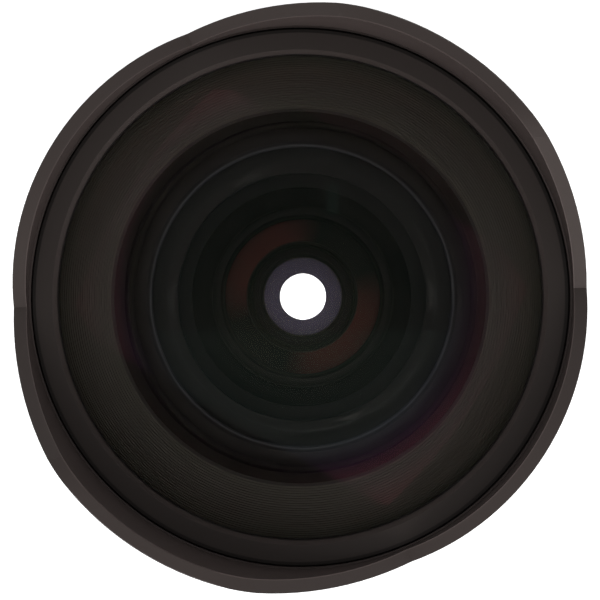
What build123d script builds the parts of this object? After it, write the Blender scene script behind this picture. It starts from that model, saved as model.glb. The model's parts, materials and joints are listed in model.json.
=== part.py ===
from build123d import *
import math
import os

# An ultra-wide cine lens with a fixed petal hood, a geared focus ring and a geared iris ring.
# Lengths are in millimetres. +Z runs along the optical axis towards the front. The origin is the
# centre of the mount flange's seating face. The long petals lie on +Y and -Y.
# Glass sets the width of the front, the front sets the gears and the barrel inside them, and
# lengths add up along the axis from the mount to the hood.

# Clearances and joins
RUNNING_CLEARANCE = 0.05
SEAT_CLEARANCE = 0.02
RING_GAP = 0.3
GLASS_GAP = 0.03
CEMENT_GAP = 0.02
WINDOW_CLEARANCE = 0.3
RETAINER_FLOOR_GAP = 0.05
EDGE_CHAMFER = 0.4
OVERCUT = 1.0
MERGE = 0.5

# Bayonet mount
SPIGOT_RADIUS = 25.3
SPIGOT_WALL = 2.8
SPIGOT_DEPTH = 6.5
RELIEF_WIDTH = 1.9
RELIEF_DEPTH = 0.5
SEAT_WIDTH = 5.3
FLANGE_THICKNESS = 2.5
LUG_REACH = 1.6
LUG_THICKNESS = 1.6
LUG_BELOW_SEAT = 2.3
LUG_SPANS = ((-30.0, 58.0), (100.0, 52.0), (205.0, 64.0))
LEDGE_BELOW_SEAT = 2.2
LEDGE_THICKNESS = 1.2
LEDGE_WIDTH = 4.0
LOCK_HOLE_RADIUS = 1.1
LOCK_HOLE_DEPTH = 2.0
LOCK_HOLE_ANGLE = 180.0
SHIM_THICKNESS = 0.2
SHIM_INSET = 1.0
SHIM_HOLE_CLEARANCE = 0.3

# Screws
MOUNT_SCREW_COUNT = 4
MOUNT_SCREW_START_ANGLE = 45.0
MOUNT_SCREW_EDGE_DISTANCE = 2.9
MOUNT_SCREW_RADIUS = 1.0
MOUNT_SCREW_LENGTH = 6.0
MOUNT_SCREW_HEAD_RADIUS = 1.9
SMALL_SCREW_COUNT = 3
SMALL_SCREW_RADIUS = 0.8
SMALL_SCREW_LENGTH = 3.8
SMALL_SCREW_HEAD_RADIUS = 1.4
BARREL_SCREW_START_ANGLE = 90.0
HOUSING_SCREW_START_ANGLE = 0.0
MIDDLE_SCREW_START_ANGLE = 60.0
BAFFLE_SCREW_RADIUS = 0.6
BAFFLE_SCREW_HEAD_RADIUS = 1.2
BAFFLE_SCREW_LENGTH = 2.0
DRIVE_SLOT_WIDTH = 0.4
DRIVE_SLOT_DEPTH = 0.5
HEAD_SINK = 0.1

# Rear barrel
REAR_NECK_STEP = 1.1
REAR_NECK_HEIGHT = 2.8
REAR_FLARE_HEIGHT = 3.6
REAR_SLEEVE_LENGTH = 6.9
REAR_BARREL_WALL = 3.98
BARREL_SCREW_BELOW_TOP = 3.8
DOT_RADIUS = 1.1
DOT_DEPTH = 0.4
DOT_PROUD = 0.1
DOT_BELOW_TOP = 4.5
DOT_ANGLE = -90.0

# Main barrel
BARREL_WALL = 2.0
BARREL_SEAT_LENGTH = 3.0

# Gears, in millimetres and in modules
GEAR_MODULE = 0.8
GEAR_ROOT_MODULES = 1.25
GEAR_ROOT_HALF_MODULES = 1.13
GEAR_TIP_HALF_MODULES = 0.42

# Iris ring
IRIS_GEAR_WALL = 3.55
IRIS_GEAR_WIDTH = 6.0
IRIS_SCALE_STEP = 0.6
IRIS_SCALE_LENGTH = 5.1
IRIS_GEAR_SHOULDER = 1.0
IRIS_NECK_STEP = 0.4
IRIS_NECK_LENGTH = 0.3
IRIS_LAND_STEP = 0.8
IRIS_LAND_SLOPE = 0.3
IRIS_LAND_LENGTH = 0.7
IRIS_GROOVE_ROOM = 0.2
IRIS_TRAVEL = 50.0

# Fixed index band
INDEX_BAND_HEIGHT = 5.0
INDEX_BAND_WALL = 5.58

# Focus ring
FOCUS_GEAR_BELOW_FLANGE = 0.2
FOCUS_GEAR_WIDTH = 7.0
FOCUS_RING_WALL = 3.78
FOCUS_SCALE_STEP = 0.2
FOCUS_SCALE_LENGTH = 10.8
FOCUS_NECK_STEP = 0.6
FOCUS_NECK_LENGTH = 0.4
FOCUS_SHOULDER = 0.5
FOCUS_LAND_STEP = 0.4
FOCUS_LAND_LENGTH = 7.8
FOCUS_BEARING_HEIGHT = 3.6
FOCUS_TRAVEL = 110.0
FOCUS_LIFT = 3.0

# Focus cam sleeve and rollers
CAM_SLEEVE_WALL = 2.95
CAM_SLEEVE_ABOVE_BEARING = 1.1
CAM_SLEEVE_LENGTH = 20.0
ROLLER_ABOVE_SLEEVE_END = 8.0
ROLLER_RADIUS = 1.2
ROLLER_TIP_GAP = 0.4
ROLLER_HEAD_RADIUS = 2.0
ROLLER_HEAD_HEIGHT = 1.1
ROLLER_COUNT = 3
ROLLER_START_ANGLE = 30.0

# Front barrel and petal hood
FRONT_CELL_WALL = 0.95
FRONT_TUBE_WALL = 2.7
FRONT_FLANGE_STEP = 0.6
FRONT_FLANGE_HEIGHT = 3.2
BARREL_STOP_THICKNESS = 1.5
BARREL_STOP_STEP = 0.5
HOOD_GROOVE_STEP = 0.3
HOOD_WALL = 2.0
HOOD_TAPER_HEIGHT = 1.8
HOOD_SEAT_ABOVE_TUBE = 1.2
HOOD_SCREW_ABOVE_FOOT = 5.3
NOTCH_ABOVE_RING = 1.8
NOTCH_ANGLE = 34.5
SHORT_PETAL_RISE = 5.3
LONG_PETAL_RISE = 14.3
LONG_SLOPE_WIDTH = 22.2
LONG_SLOPE_RISE = 13.2
LONG_SLOPE_SAG = 0.7
LONG_SHOULDER_WIDTH = 5.5
SHOULDER_MIDDLE_ALONG = 0.4
SHOULDER_MIDDLE_UP = 0.65
RIM_BREAK = 0.15
PETAL_OVERCUT = 5.0

# Front retaining ring
FRONT_RING_GROOVE = 0.65
FRONT_RING_THICKNESS = 1.85
FRONT_RING_FOOT_GAP = 0.1
FRONT_LIP_OVERLAP = 0.5
FRONT_LIP_GAP = 0.1
FRONT_LIP_HEIGHT = 2.05
FRONT_LIP_CHAMFER = 0.8

# Ribbed baffle behind the front element's rim
BAFFLE_OPENING_STEP = 0.5
BAFFLE_THICKNESS = 1.6
BAFFLE_RIB_PITCH = 0.4
BAFFLE_RIB_DEPTH = 0.15
BAFFLE_RIB_SLOPE_SHARE = 0.35
BAFFLE_RIM_WIDTH = 0.9

# Glass: radius of the rim, thickness at the rim, then the radius of curvature of each face,
# positive when its centre lies behind the face. A face ground only out to part of the rim's
# radius has that radius too, with a flat shoulder round it.
FRONT_GLASS = dict(rim=37.5, edge=2.83, front=62.0, back=36.0, back_ground=26.7)
SECOND_GLASS = dict(rim=25.5, edge=5.04, front=60.0, back=24.0, back_ground=18.0)
THIRD_GLASS = dict(rim=18.6, edge=3.82, front=200.0, back=30.0, back_ground=12.4)
FOURTH_GLASS = dict(rim=15.0, edge=1.6, front=36.0, back=-70.0)
FIFTH_GLASS = dict(rim=15.0, edge=6.41, front=-70.0, back=40.0, back_ground=12.2)
SIXTH_GLASS = dict(rim=12.5, edge=1.16, front=60.0, back=-150.0)
SEVENTH_GLASS = dict(rim=12.0, edge=1.25, front=40.0, back=-30.0)
EIGHTH_GLASS = dict(rim=12.0, edge=4.9, front=-30.0, back=60.0, back_ground=11.0)
NINTH_GLASS = dict(rim=12.0, edge=1.18, front=60.0, back=-60.0)
TENTH_GLASS = dict(rim=12.0, edge=2.15, front=-80.0, front_ground=11.0, back=-60.0)

# Front cell and its retaining rings
FRONT_RIM_ABOVE_STOP = 9.87
SECOND_RIM_BELOW_BAFFLE = 2.6
SECOND_RETAINER_OVERLAP = 0.5
SECOND_RETAINER_REACH = 2.1
SECOND_RETAINER_HEIGHT = 1.1
SECOND_RETAINER_CHAMFER = 0.5
SECOND_SEAT_WALL = 1.5
SECOND_SEAT_THICKNESS = 1.2
THIRD_RIM_BELOW_SECOND = 5.14
THIRD_RETAINER_OVERLAP = 0.7
THIRD_RETAINER_REACH = 1.9
THIRD_RETAINER_HEIGHT = 1.2
THIRD_SEAT_STEP = 0.4
THIRD_SEAT_THICKNESS = 0.88
FRONT_CELL_NECK_WALL = 1.98
SHADE_RING_INSET = 0.3
SHADE_RING_HEIGHT = 0.6

# Middle cell
MIDDLE_CELL_TO_FRONT_CELL = 0.5
FOURTH_RIM_BELOW_TOP = 1.57
SIXTH_RIM_BELOW_FIFTH = 1.82
MIDDLE_CELL_WALL = 1.97
MIDDLE_FLANGE_REACH = 4.6
MIDDLE_FLANGE_HEIGHT = 1.4
MIDDLE_SEAT_OVERLAP = 0.7
MIDDLE_SEAT_THICKNESS = 2.03
MIDDLE_RETAINER_OVERLAP = 0.7
MIDDLE_RETAINER_REACH = 1.0
MIDDLE_RETAINER_HEIGHT = 1.1
MIDDLE_SPACER_WALL = 0.6
CELL_SCREW_REACH = 2.7

# Rear cell
SEVENTH_RIM_BELOW_HOUSING = 3.14
NINTH_RIM_BELOW_EIGHTH = 1.8
TENTH_FACE_BELOW_NINTH = 2.85
REAR_CELL_WALL = 2.37
REAR_CELL_FLANGE_HEIGHT = 1.2
REAR_CELL_SKIRT = 2.1
REAR_SEAT_OVERLAP = 0.5
REAR_RETAINER_OVERLAP = 0.7
REAR_RETAINER_REACH = 1.0
REAR_RETAINER_HEIGHT = 1.4
SPACER_WALL = 0.8

# Focus carriage
CARRIAGE_WALL = 1.5
CARRIAGE_ABOVE_REAR_WALL = 0.9
CARRIAGE_BEFORE_ROLLERS = 8.0
WEB_HEIGHT = 4.0
WEB_TO_MIDDLE_CELL_END = 0.6

# Iris
BLADE_COUNT = 6
IRIS_OPEN_RADIUS = 6.8
BLADE_HIDDEN_WIDTH = 0.45
BLADE_WIDTH = 3.75
BLADE_SPAN_ANGLE = 138.0
BLADE_THICKNESS = 0.12
BLADE_PITCH = 0.22
BLADE_ROOM_IN_FRONT = 0.23
BLADE_ROOM_BEHIND = 0.15
PIVOT_STEP = 0.7
BLADE_PIN_RADIUS = 0.4
BLADE_EAR_RADIUS = 0.9
BLADE_EAR_OVERLAP = 0.4
TAIL_LENGTH = 2.8
TAIL_ANGLE = 260.0
TAIL_PIN_REACH = 1.275
PIVOT_PIN_REACH = 0.84
BLADE_SWING = 26.0
CAM_RING_THICKNESS = 1.7
CAM_RING_OPENING_STEP = 1.2
CAM_RING_PLAY = 0.1
CAM_SLOT_CLEARANCE = 0.07
HOUSING_BORE_STEP = 3.35
HOUSING_WALL = 2.45
HOUSING_PLATE_THICKNESS = 1.2
HOUSING_OPENING_STEP = 0.1
HOUSING_EDGE = 0.2
HOUSING_FLANGE_REACH = 2.3
RETAINER_THICKNESS = 1.7
ARM_WIDTH = 3.4
ARM_THICKNESS = 2.1
ARM_GAP = 0.8
ARM_END_WALL = 1.0
ARM_ANGLE = 60.0
IRIS_PIN_RADIUS = 1.0
IRIS_PIN_ABOVE_GEAR_FACE = 0.6
IRIS_PIN_REACH = 1.6

# Rear light baffle
REAR_BAFFLE_THICKNESS = 1.0
REAR_WINDOW_LENGTH = 28.0
REAR_WINDOW_HEIGHT = 18.0
REAR_BAFFLE_SCREW_INSET = 2.3


def gear_pitch_radius(teeth):
    return GEAR_MODULE * teeth / 2


def gear_root(teeth):
    return gear_pitch_radius(teeth) - GEAR_ROOT_MODULES * GEAR_MODULE


def surface_height(surface, radius):
    vertex, curve, _ = surface
    return vertex - curve + math.copysign(math.sqrt(curve**2 - radius**2), curve)


def rim_height(surface):
    return surface_height(surface, surface[2])


def face(curve, ground, edge_height):
    """Spherical face as (vertex height, curve, ground radius), from the height of its edge."""
    vertex = edge_height + curve - math.copysign(math.sqrt(curve**2 - ground**2), curve)
    return (vertex, curve, ground)


def placed(glass, front_edge):
    """Lens element with the edge of its front face at this height."""
    rim = glass["rim"]
    return {
        "rim": rim,
        "front": face(glass["front"], glass.get("front_ground", rim), front_edge),
        "back": face(glass["back"], glass.get("back_ground", rim), front_edge - glass["edge"]),
    }


# Radii of the front, from the front glass outwards
FRONT_CELL_BORE = FRONT_GLASS["rim"] + GLASS_GAP
FRONT_CELL_RADIUS = FRONT_CELL_BORE + FRONT_CELL_WALL
FRONT_BORE = FRONT_CELL_RADIUS + SEAT_CLEARANCE
FRONT_TUBE_RADIUS = FRONT_BORE + FRONT_TUBE_WALL
FRONT_FLANGE_RADIUS = FRONT_TUBE_RADIUS + FRONT_FLANGE_STEP
HOOD_SEAT_BORE = FRONT_TUBE_RADIUS + SEAT_CLEARANCE
HOOD_BORE = FRONT_TUBE_RADIUS + HOOD_GROOVE_STEP
HOOD_RADIUS = HOOD_BORE + HOOD_WALL
FRONT_RING_RADIUS = HOOD_BORE - FRONT_RING_GROOVE
FRONT_LIP_RADIUS = FRONT_GLASS["rim"] - FRONT_LIP_OVERLAP
BAFFLE_OPENING_RADIUS = FRONT_GLASS["back_ground"] + BAFFLE_OPENING_STEP

# Radii of the barrels and rings, from the front flange inwards and out again
FOCUS_GEAR_TEETH = round(
    2 * (FRONT_FLANGE_RADIUS - FOCUS_GEAR_BELOW_FLANGE - GEAR_MODULE) / GEAR_MODULE
)
CAM_SLEEVE_SEAT = gear_root(FOCUS_GEAR_TEETH) - FOCUS_RING_WALL
CAM_SLEEVE_RADIUS = CAM_SLEEVE_SEAT - SEAT_CLEARANCE
RING_BORE = CAM_SLEEVE_RADIUS - CAM_SLEEVE_WALL
BARREL_RADIUS = RING_BORE - RUNNING_CLEARANCE
BARREL_BORE = BARREL_RADIUS - BARREL_WALL
FIXED_BORE = BARREL_RADIUS + SEAT_CLEARANCE
IRIS_GEAR_TEETH = round(2 * (RING_BORE + IRIS_GEAR_WALL) / GEAR_MODULE + 2 * GEAR_ROOT_MODULES)
INDEX_BAND_RADIUS = FIXED_BORE + INDEX_BAND_WALL
REAR_BARREL_RADIUS = FIXED_BORE + REAR_BARREL_WALL
ROLLER_TIP_RADIUS = CAM_SLEEVE_RADIUS - ROLLER_TIP_GAP
IRIS_PIN_TIP_RADIUS = BARREL_RADIUS + IRIS_PIN_REACH
CARRIAGE_RADIUS = BARREL_BORE - RUNNING_CLEARANCE
CARRIAGE_BORE = CARRIAGE_RADIUS - CARRIAGE_WALL
BARREL_STOP_RADIUS = BARREL_BORE + BARREL_STOP_STEP

# Mount
SPIGOT_BORE = SPIGOT_RADIUS - SPIGOT_WALL
SEAT_INNER_RADIUS = SPIGOT_RADIUS + RELIEF_WIDTH
FLANGE_RADIUS = SEAT_INNER_RADIUS + SEAT_WIDTH
LUG_RADIUS = SPIGOT_RADIUS + LUG_REACH
MOUNT_SCREW_CIRCLE_RADIUS = FLANGE_RADIUS - MOUNT_SCREW_EDGE_DISTANCE
REAR_NECK_RADIUS = FLANGE_RADIUS + REAR_NECK_STEP
LEDGE_RADIUS = SPIGOT_BORE - LEDGE_WIDTH
LEDGE_LOW = -LEDGE_BELOW_SEAT - LEDGE_THICKNESS
BAFFLE_SCREW_X = SPIGOT_BORE - REAR_BAFFLE_SCREW_INSET

# Heights of the outside, from the seating face forwards
SHIM_TOP = FLANGE_THICKNESS + SHIM_THICKNESS
REAR_NECK_TOP = SHIM_TOP + REAR_NECK_HEIGHT
BARREL_REAR = REAR_NECK_TOP + REAR_FLARE_HEIGHT
REAR_BARREL_TOP = BARREL_REAR + REAR_SLEEVE_LENGTH
IRIS_RING_LOW = REAR_BARREL_TOP + RING_GAP
IRIS_GEAR_LOW = IRIS_RING_LOW + IRIS_SCALE_LENGTH + IRIS_GEAR_SHOULDER
IRIS_GEAR_TOP = IRIS_GEAR_LOW + IRIS_GEAR_WIDTH
IRIS_LAND_LOW = IRIS_GEAR_TOP + IRIS_NECK_LENGTH
IRIS_RING_TOP = IRIS_LAND_LOW + IRIS_LAND_SLOPE + IRIS_LAND_LENGTH
IRIS_PIN_HEIGHT = IRIS_GEAR_LOW + IRIS_PIN_ABOVE_GEAR_FACE
INDEX_BAND_LOW = IRIS_RING_TOP + RING_GAP
INDEX_BAND_TOP = INDEX_BAND_LOW + INDEX_BAND_HEIGHT
FOCUS_RING_LOW = INDEX_BAND_TOP + RING_GAP
FOCUS_SCALE_TOP = FOCUS_RING_LOW + FOCUS_SCALE_LENGTH
FOCUS_GEAR_LOW = FOCUS_SCALE_TOP + FOCUS_SHOULDER + FOCUS_NECK_LENGTH
FOCUS_GEAR_TOP = FOCUS_GEAR_LOW + FOCUS_GEAR_WIDTH
FOCUS_LAND_LOW = FOCUS_GEAR_TOP + FOCUS_NECK_LENGTH + FOCUS_SHOULDER
FOCUS_RING_TOP = FOCUS_LAND_LOW + FOCUS_LAND_LENGTH
FOCUS_BEARING_TOP = FOCUS_RING_LOW + FOCUS_BEARING_HEIGHT
CAM_SLEEVE_LOW = FOCUS_BEARING_TOP + CAM_SLEEVE_ABOVE_BEARING
ROLLER_HEIGHT = CAM_SLEEVE_LOW + ROLLER_ABOVE_SLEEVE_END
FRONT_BARREL_LOW = FOCUS_RING_TOP + RING_GAP
HOOD_LOW = FRONT_BARREL_LOW + FRONT_FLANGE_HEIGHT
BARREL_FRONT = FRONT_BARREL_LOW + BARREL_SEAT_LENGTH
FRONT_STOP_TOP = BARREL_FRONT + BARREL_STOP_THICKNESS

# Front group, from the front element's rim backwards
FRONT_ELEMENT = placed(FRONT_GLASS, FRONT_STOP_TOP + FRONT_RIM_ABOVE_STOP)
FRONT_SEAT_TOP = (rim_height(FRONT_ELEMENT["front"]) + rim_height(FRONT_ELEMENT["back"])) / 2
FRONT_LIP_LOW = surface_height(FRONT_ELEMENT["front"], FRONT_LIP_RADIUS) + FRONT_LIP_GAP
FRONT_RING_TOP = FRONT_LIP_LOW + FRONT_LIP_HEIGHT
FRONT_RING_UNDERSIDE = FRONT_RING_TOP - FRONT_RING_THICKNESS
FRONT_TUBE_TOP = FRONT_RING_UNDERSIDE - RETAINER_FLOOR_GAP
BAFFLE_TOP = rim_height(FRONT_ELEMENT["back"]) - GLASS_GAP
BAFFLE_LOW = BAFFLE_TOP - BAFFLE_THICKNESS
SECOND_ELEMENT = placed(SECOND_GLASS, BAFFLE_LOW - SECOND_RIM_BELOW_BAFFLE)
SECOND_BACK_EDGE = rim_height(SECOND_ELEMENT["back"])
SECOND_SEAT = SECOND_BACK_EDGE - GLASS_GAP
SECOND_RETAINER_OPENING = SECOND_GLASS["rim"] - SECOND_RETAINER_OVERLAP
SECOND_RETAINER_RADIUS = SECOND_GLASS["rim"] + SECOND_RETAINER_REACH
SECOND_RETAINER_LOW = (
    surface_height(SECOND_ELEMENT["front"], SECOND_RETAINER_OPENING) + GLASS_GAP
)
THIRD_ELEMENT = placed(THIRD_GLASS, SECOND_BACK_EDGE - THIRD_RIM_BELOW_SECOND)
THIRD_RETAINER_OPENING = THIRD_GLASS["rim"] - THIRD_RETAINER_OVERLAP
THIRD_RETAINER_RADIUS = THIRD_GLASS["rim"] + THIRD_RETAINER_REACH
THIRD_RETAINER_LOW = surface_height(THIRD_ELEMENT["front"], THIRD_RETAINER_OPENING) + GLASS_GAP
SHADE_RING_TOP = rim_height(THIRD_ELEMENT["back"]) - GLASS_GAP
SHADE_RING_LOW = SHADE_RING_TOP - SHADE_RING_HEIGHT
FRONT_CELL_LOW = SHADE_RING_LOW - THIRD_SEAT_THICKNESS

# Hood, from the front ring forwards
HOOD_STEP_HEIGHT = FRONT_TUBE_TOP + HOOD_SEAT_ABOVE_TUBE
NOTCH_HEIGHT = FRONT_RING_TOP + NOTCH_ABOVE_RING
HOOD_TOP = NOTCH_HEIGHT + LONG_PETAL_RISE

# Middle group, far enough behind the front cell for the focus travel
MIDDLE_CELL_TOP = FRONT_CELL_LOW - FOCUS_LIFT - MIDDLE_CELL_TO_FRONT_CELL
FOURTH_ELEMENT = placed(FOURTH_GLASS, MIDDLE_CELL_TOP - FOURTH_RIM_BELOW_TOP)
FIFTH_ELEMENT = placed(FIFTH_GLASS, rim_height(FOURTH_ELEMENT["back"]) - CEMENT_GAP)
MIDDLE_SEAT = rim_height(FIFTH_ELEMENT["back"]) - GLASS_GAP
SIXTH_ELEMENT = placed(SIXTH_GLASS, rim_height(FIFTH_ELEMENT["back"]) - SIXTH_RIM_BELOW_FIFTH)
MIDDLE_SEAT_OPENING = SIXTH_GLASS["rim"] - MIDDLE_SEAT_OVERLAP
SIXTH_SEAT = surface_height(SIXTH_ELEMENT["back"], MIDDLE_SEAT_OPENING) - GLASS_GAP
MIDDLE_RETAINER_OPENING = FOURTH_GLASS["rim"] - MIDDLE_RETAINER_OVERLAP
MIDDLE_RETAINER_RADIUS = FOURTH_GLASS["rim"] + MIDDLE_RETAINER_REACH
MIDDLE_RETAINER_LOW = (
    surface_height(FOURTH_ELEMENT["front"], MIDDLE_RETAINER_OPENING) + GLASS_GAP
)
MIDDLE_CELL_LOW = SIXTH_SEAT - MIDDLE_SEAT_THICKNESS
MIDDLE_CELL_BORE = FOURTH_GLASS["rim"] + GLASS_GAP
MIDDLE_CELL_RADIUS = MIDDLE_CELL_BORE + MIDDLE_CELL_WALL
MIDDLE_FLANGE_RADIUS = MIDDLE_CELL_RADIUS + MIDDLE_FLANGE_REACH
CELL_SCREW_CIRCLE_RADIUS = MIDDLE_CELL_RADIUS + CELL_SCREW_REACH

# Carriage
WEB_LOW = MIDDLE_CELL_LOW - WEB_TO_MIDDLE_CELL_END
WEB_TOP = WEB_LOW + WEB_HEIGHT
CARRIAGE_LOW = BARREL_REAR + CARRIAGE_ABOVE_REAR_WALL
CARRIAGE_TOP = ROLLER_HEIGHT + CARRIAGE_BEFORE_ROLLERS

# Iris, from the open hole outwards and from the carriage's web backwards
BLADE_INNER_RADIUS = IRIS_OPEN_RADIUS + BLADE_HIDDEN_WIDTH
BLADE_OUTER_RADIUS = BLADE_INNER_RADIUS + BLADE_WIDTH
PIVOT_CIRCLE_RADIUS = BLADE_OUTER_RADIUS + PIVOT_STEP
HOUSING_OPENING = IRIS_OPEN_RADIUS + HOUSING_OPENING_STEP
HOUSING_BORE = PIVOT_CIRCLE_RADIUS + HOUSING_BORE_STEP
HOUSING_RADIUS = HOUSING_BORE + HOUSING_WALL
HOUSING_FLANGE_RADIUS = CELL_SCREW_CIRCLE_RADIUS + HOUSING_FLANGE_REACH
CAM_RING_OPENING = PIVOT_CIRCLE_RADIUS - CAM_RING_OPENING_STEP
CAM_RING_RADIUS = HOUSING_BORE - RUNNING_CLEARANCE
ARM_INNER_RADIUS = HOUSING_RADIUS + ARM_GAP
ARM_OUTER_RADIUS = ARM_INNER_RADIUS + ARM_THICKNESS
PLATE_LOW = WEB_LOW - HOUSING_PLATE_THICKNESS
BLADE_STACK = (BLADE_COUNT - 1) * BLADE_PITCH + BLADE_THICKNESS
BLADE_LOW = PLATE_LOW - BLADE_ROOM_IN_FRONT - BLADE_STACK
CAM_RING_TOP = BLADE_LOW - BLADE_ROOM_BEHIND
CAM_RING_LOW = CAM_RING_TOP - CAM_RING_THICKNESS
IRIS_RETAINER_TOP = CAM_RING_LOW - CAM_RING_PLAY
HOUSING_LOW = IRIS_RETAINER_TOP - RETAINER_THICKNESS - HOUSING_EDGE

# Rear group, behind the iris housing
SEVENTH_ELEMENT = placed(SEVENTH_GLASS, HOUSING_LOW - SEVENTH_RIM_BELOW_HOUSING)
EIGHTH_ELEMENT = placed(EIGHTH_GLASS, rim_height(SEVENTH_ELEMENT["back"]) - CEMENT_GAP)
NINTH_ELEMENT = placed(NINTH_GLASS, rim_height(EIGHTH_ELEMENT["back"]) - NINTH_RIM_BELOW_EIGHTH)
TENTH_ELEMENT = placed(TENTH_GLASS, rim_height(NINTH_ELEMENT["back"]) - TENTH_FACE_BELOW_NINTH)
REAR_CELL_BORE = SEVENTH_GLASS["rim"] + GLASS_GAP
REAR_CELL_RADIUS = REAR_CELL_BORE + REAR_CELL_WALL
REAR_SEAT_OPENING = SEVENTH_GLASS["rim"] - REAR_SEAT_OVERLAP
REAR_RETAINER_OPENING = TENTH_GLASS["rim"] - REAR_RETAINER_OVERLAP
REAR_RETAINER_RADIUS = SEVENTH_GLASS["rim"] + REAR_RETAINER_REACH
REAR_RETAINER_TOP = surface_height(TENTH_ELEMENT["back"], REAR_RETAINER_OPENING) - GLASS_GAP
REAR_RETAINER_LOW = REAR_RETAINER_TOP - REAR_RETAINER_HEIGHT
REAR_CELL_LOW = REAR_RETAINER_LOW - REAR_CELL_SKIRT


def turned(*points):
    """Solid of revolution about the optical axis, from (radius, height) corners."""
    outline = Plane.XZ * make_face(Polyline(*points, close=True))
    return revolve(outline, Axis.Z, 360)


def ring(outer, inner, low, high):
    return turned((inner, low), (outer, low), (outer, high), (inner, high))


def polar(radius, angle):
    return (radius * math.cos(math.radians(angle)), radius * math.sin(math.radians(angle)))


def sector(outer, inner, low, high, start, span):
    """Part of a ring, from the angle start over the angle span."""
    whole = Plane.XZ * make_face(
        Polyline((inner, low), (outer, low), (outer, high), (inner, high), close=True)
    )
    return Rot(0, 0, start) * revolve(whole, Axis.Z, span)


def upright_rod(radius, low, high, at=(0, 0)):
    base = Align.CENTER, Align.CENTER, Align.MIN
    return Pos(at[0], at[1], low) * Cylinder(radius, high - low, align=base)


def radial_rod(radius, inner, outer, angle, height):
    """Round rod that points away from the optical axis."""
    base = Align.CENTER, Align.CENTER, Align.MIN
    rod = Cylinder(radius, outer - inner, align=base)
    return Rot(0, 0, angle) * Pos(inner, 0, height) * Rot(0, 90, 0) * rod


def evenly(count, start=0.0):
    return [start + 360.0 * index / count for index in range(count)]


def lens_element(element):
    """Glass with two spherical faces, a ground rim and flat shoulders outside each face."""
    front = element["front"]
    back = element["back"]
    rim = element["rim"]
    front_edge = (front[2], rim_height(front))
    back_edge = (back[2], rim_height(back))
    lines = ThreePointArc(
        (0, front[0]), (front[2] / 2, surface_height(front, front[2] / 2)), front_edge
    )
    if front[2] < rim:
        lines += Line(front_edge, (rim, front_edge[1]))
    lines += Line((rim, front_edge[1]), (rim, back_edge[1]))
    if back[2] < rim:
        lines += Line((rim, back_edge[1]), back_edge)
    lines += ThreePointArc(
        back_edge, (back[2] / 2, surface_height(back, back[2] / 2)), (0, back[0])
    )
    lines += Line((0, back[0]), (0, front[0]))
    return revolve(Plane.XZ * make_face(lines), Axis.Z, 360)


# Screws and their places
def screw(radius, length, head_radius):
    """Countersunk slotted screw, with its flat head at height 0 and its tip below."""
    head_depth = head_radius - radius
    body = turned((0, 0), (head_radius, 0), (radius, -head_depth), (radius, -length), (0, -length))
    return body - Box(3 * head_radius, DRIVE_SLOT_WIDTH, 2 * DRIVE_SLOT_DEPTH)


def screw_hole(radius, length, head_radius):
    """Room for a screw and its countersink, a seat clearance larger all round."""
    wide = head_radius + SEAT_CLEARANCE
    narrow = radius + SEAT_CLEARANCE
    bottom = -length - 2 * SEAT_CLEARANCE
    return turned(
        (0, OVERCUT),
        (wide, OVERCUT),
        (wide, 0),
        (narrow, narrow - wide),
        (narrow, bottom),
        (0, bottom),
    )


def mount_screw_centres():
    angles = evenly(MOUNT_SCREW_COUNT, MOUNT_SCREW_START_ANGLE)
    return [polar(MOUNT_SCREW_CIRCLE_RADIUS, angle) for angle in angles]


def mount_screw_places():
    """Screw frames on the seating face; the heads face the camera."""
    return [Pos(x, y, HEAD_SINK) * Rot(180, 0, 0) for x, y in mount_screw_centres()]


def axial_screw_places(height, facing_front, start):
    turn = Rot(0, 0, 0) if facing_front else Rot(180, 0, 0)
    places = []
    for angle in evenly(SMALL_SCREW_COUNT, start):
        x, y = polar(CELL_SCREW_CIRCLE_RADIUS, angle)
        places.append(Pos(x, y, height) * turn)
    return places


def radial_screw_places(surface_radius, height):
    return [
        Rot(0, 0, angle) * Pos(surface_radius - HEAD_SINK, 0, height) * Rot(0, 90, 0)
        for angle in evenly(SMALL_SCREW_COUNT, BARREL_SCREW_START_ANGLE)
    ]


def group(places, shape):
    return Compound([place * shape for place in places])


MOUNT_SCREW = (MOUNT_SCREW_RADIUS, MOUNT_SCREW_LENGTH, MOUNT_SCREW_HEAD_RADIUS)
SMALL_SCREW = (SMALL_SCREW_RADIUS, SMALL_SCREW_LENGTH, SMALL_SCREW_HEAD_RADIUS)
BAFFLE_SCREW = (BAFFLE_SCREW_RADIUS, BAFFLE_SCREW_LENGTH, BAFFLE_SCREW_HEAD_RADIUS)
BARREL_SCREWS = radial_screw_places(REAR_BARREL_RADIUS, REAR_BARREL_TOP - BARREL_SCREW_BELOW_TOP)
HOOD_SCREWS = radial_screw_places(HOOD_RADIUS, HOOD_LOW + HOOD_SCREW_ABOVE_FOOT)
HOUSING_SCREWS = axial_screw_places(PLATE_LOW + HEAD_SINK, False, HOUSING_SCREW_START_ANGLE)
MIDDLE_SCREWS = axial_screw_places(
    WEB_TOP + MIDDLE_FLANGE_HEIGHT - HEAD_SINK, True, MIDDLE_SCREW_START_ANGLE
)
BAFFLE_SCREWS = [
    Pos(x, 0, LEDGE_LOW - REAR_BAFFLE_THICKNESS + HEAD_SINK) * Rot(180, 0, 0)
    for x in (-BAFFLE_SCREW_X, BAFFLE_SCREW_X)
]


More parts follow.
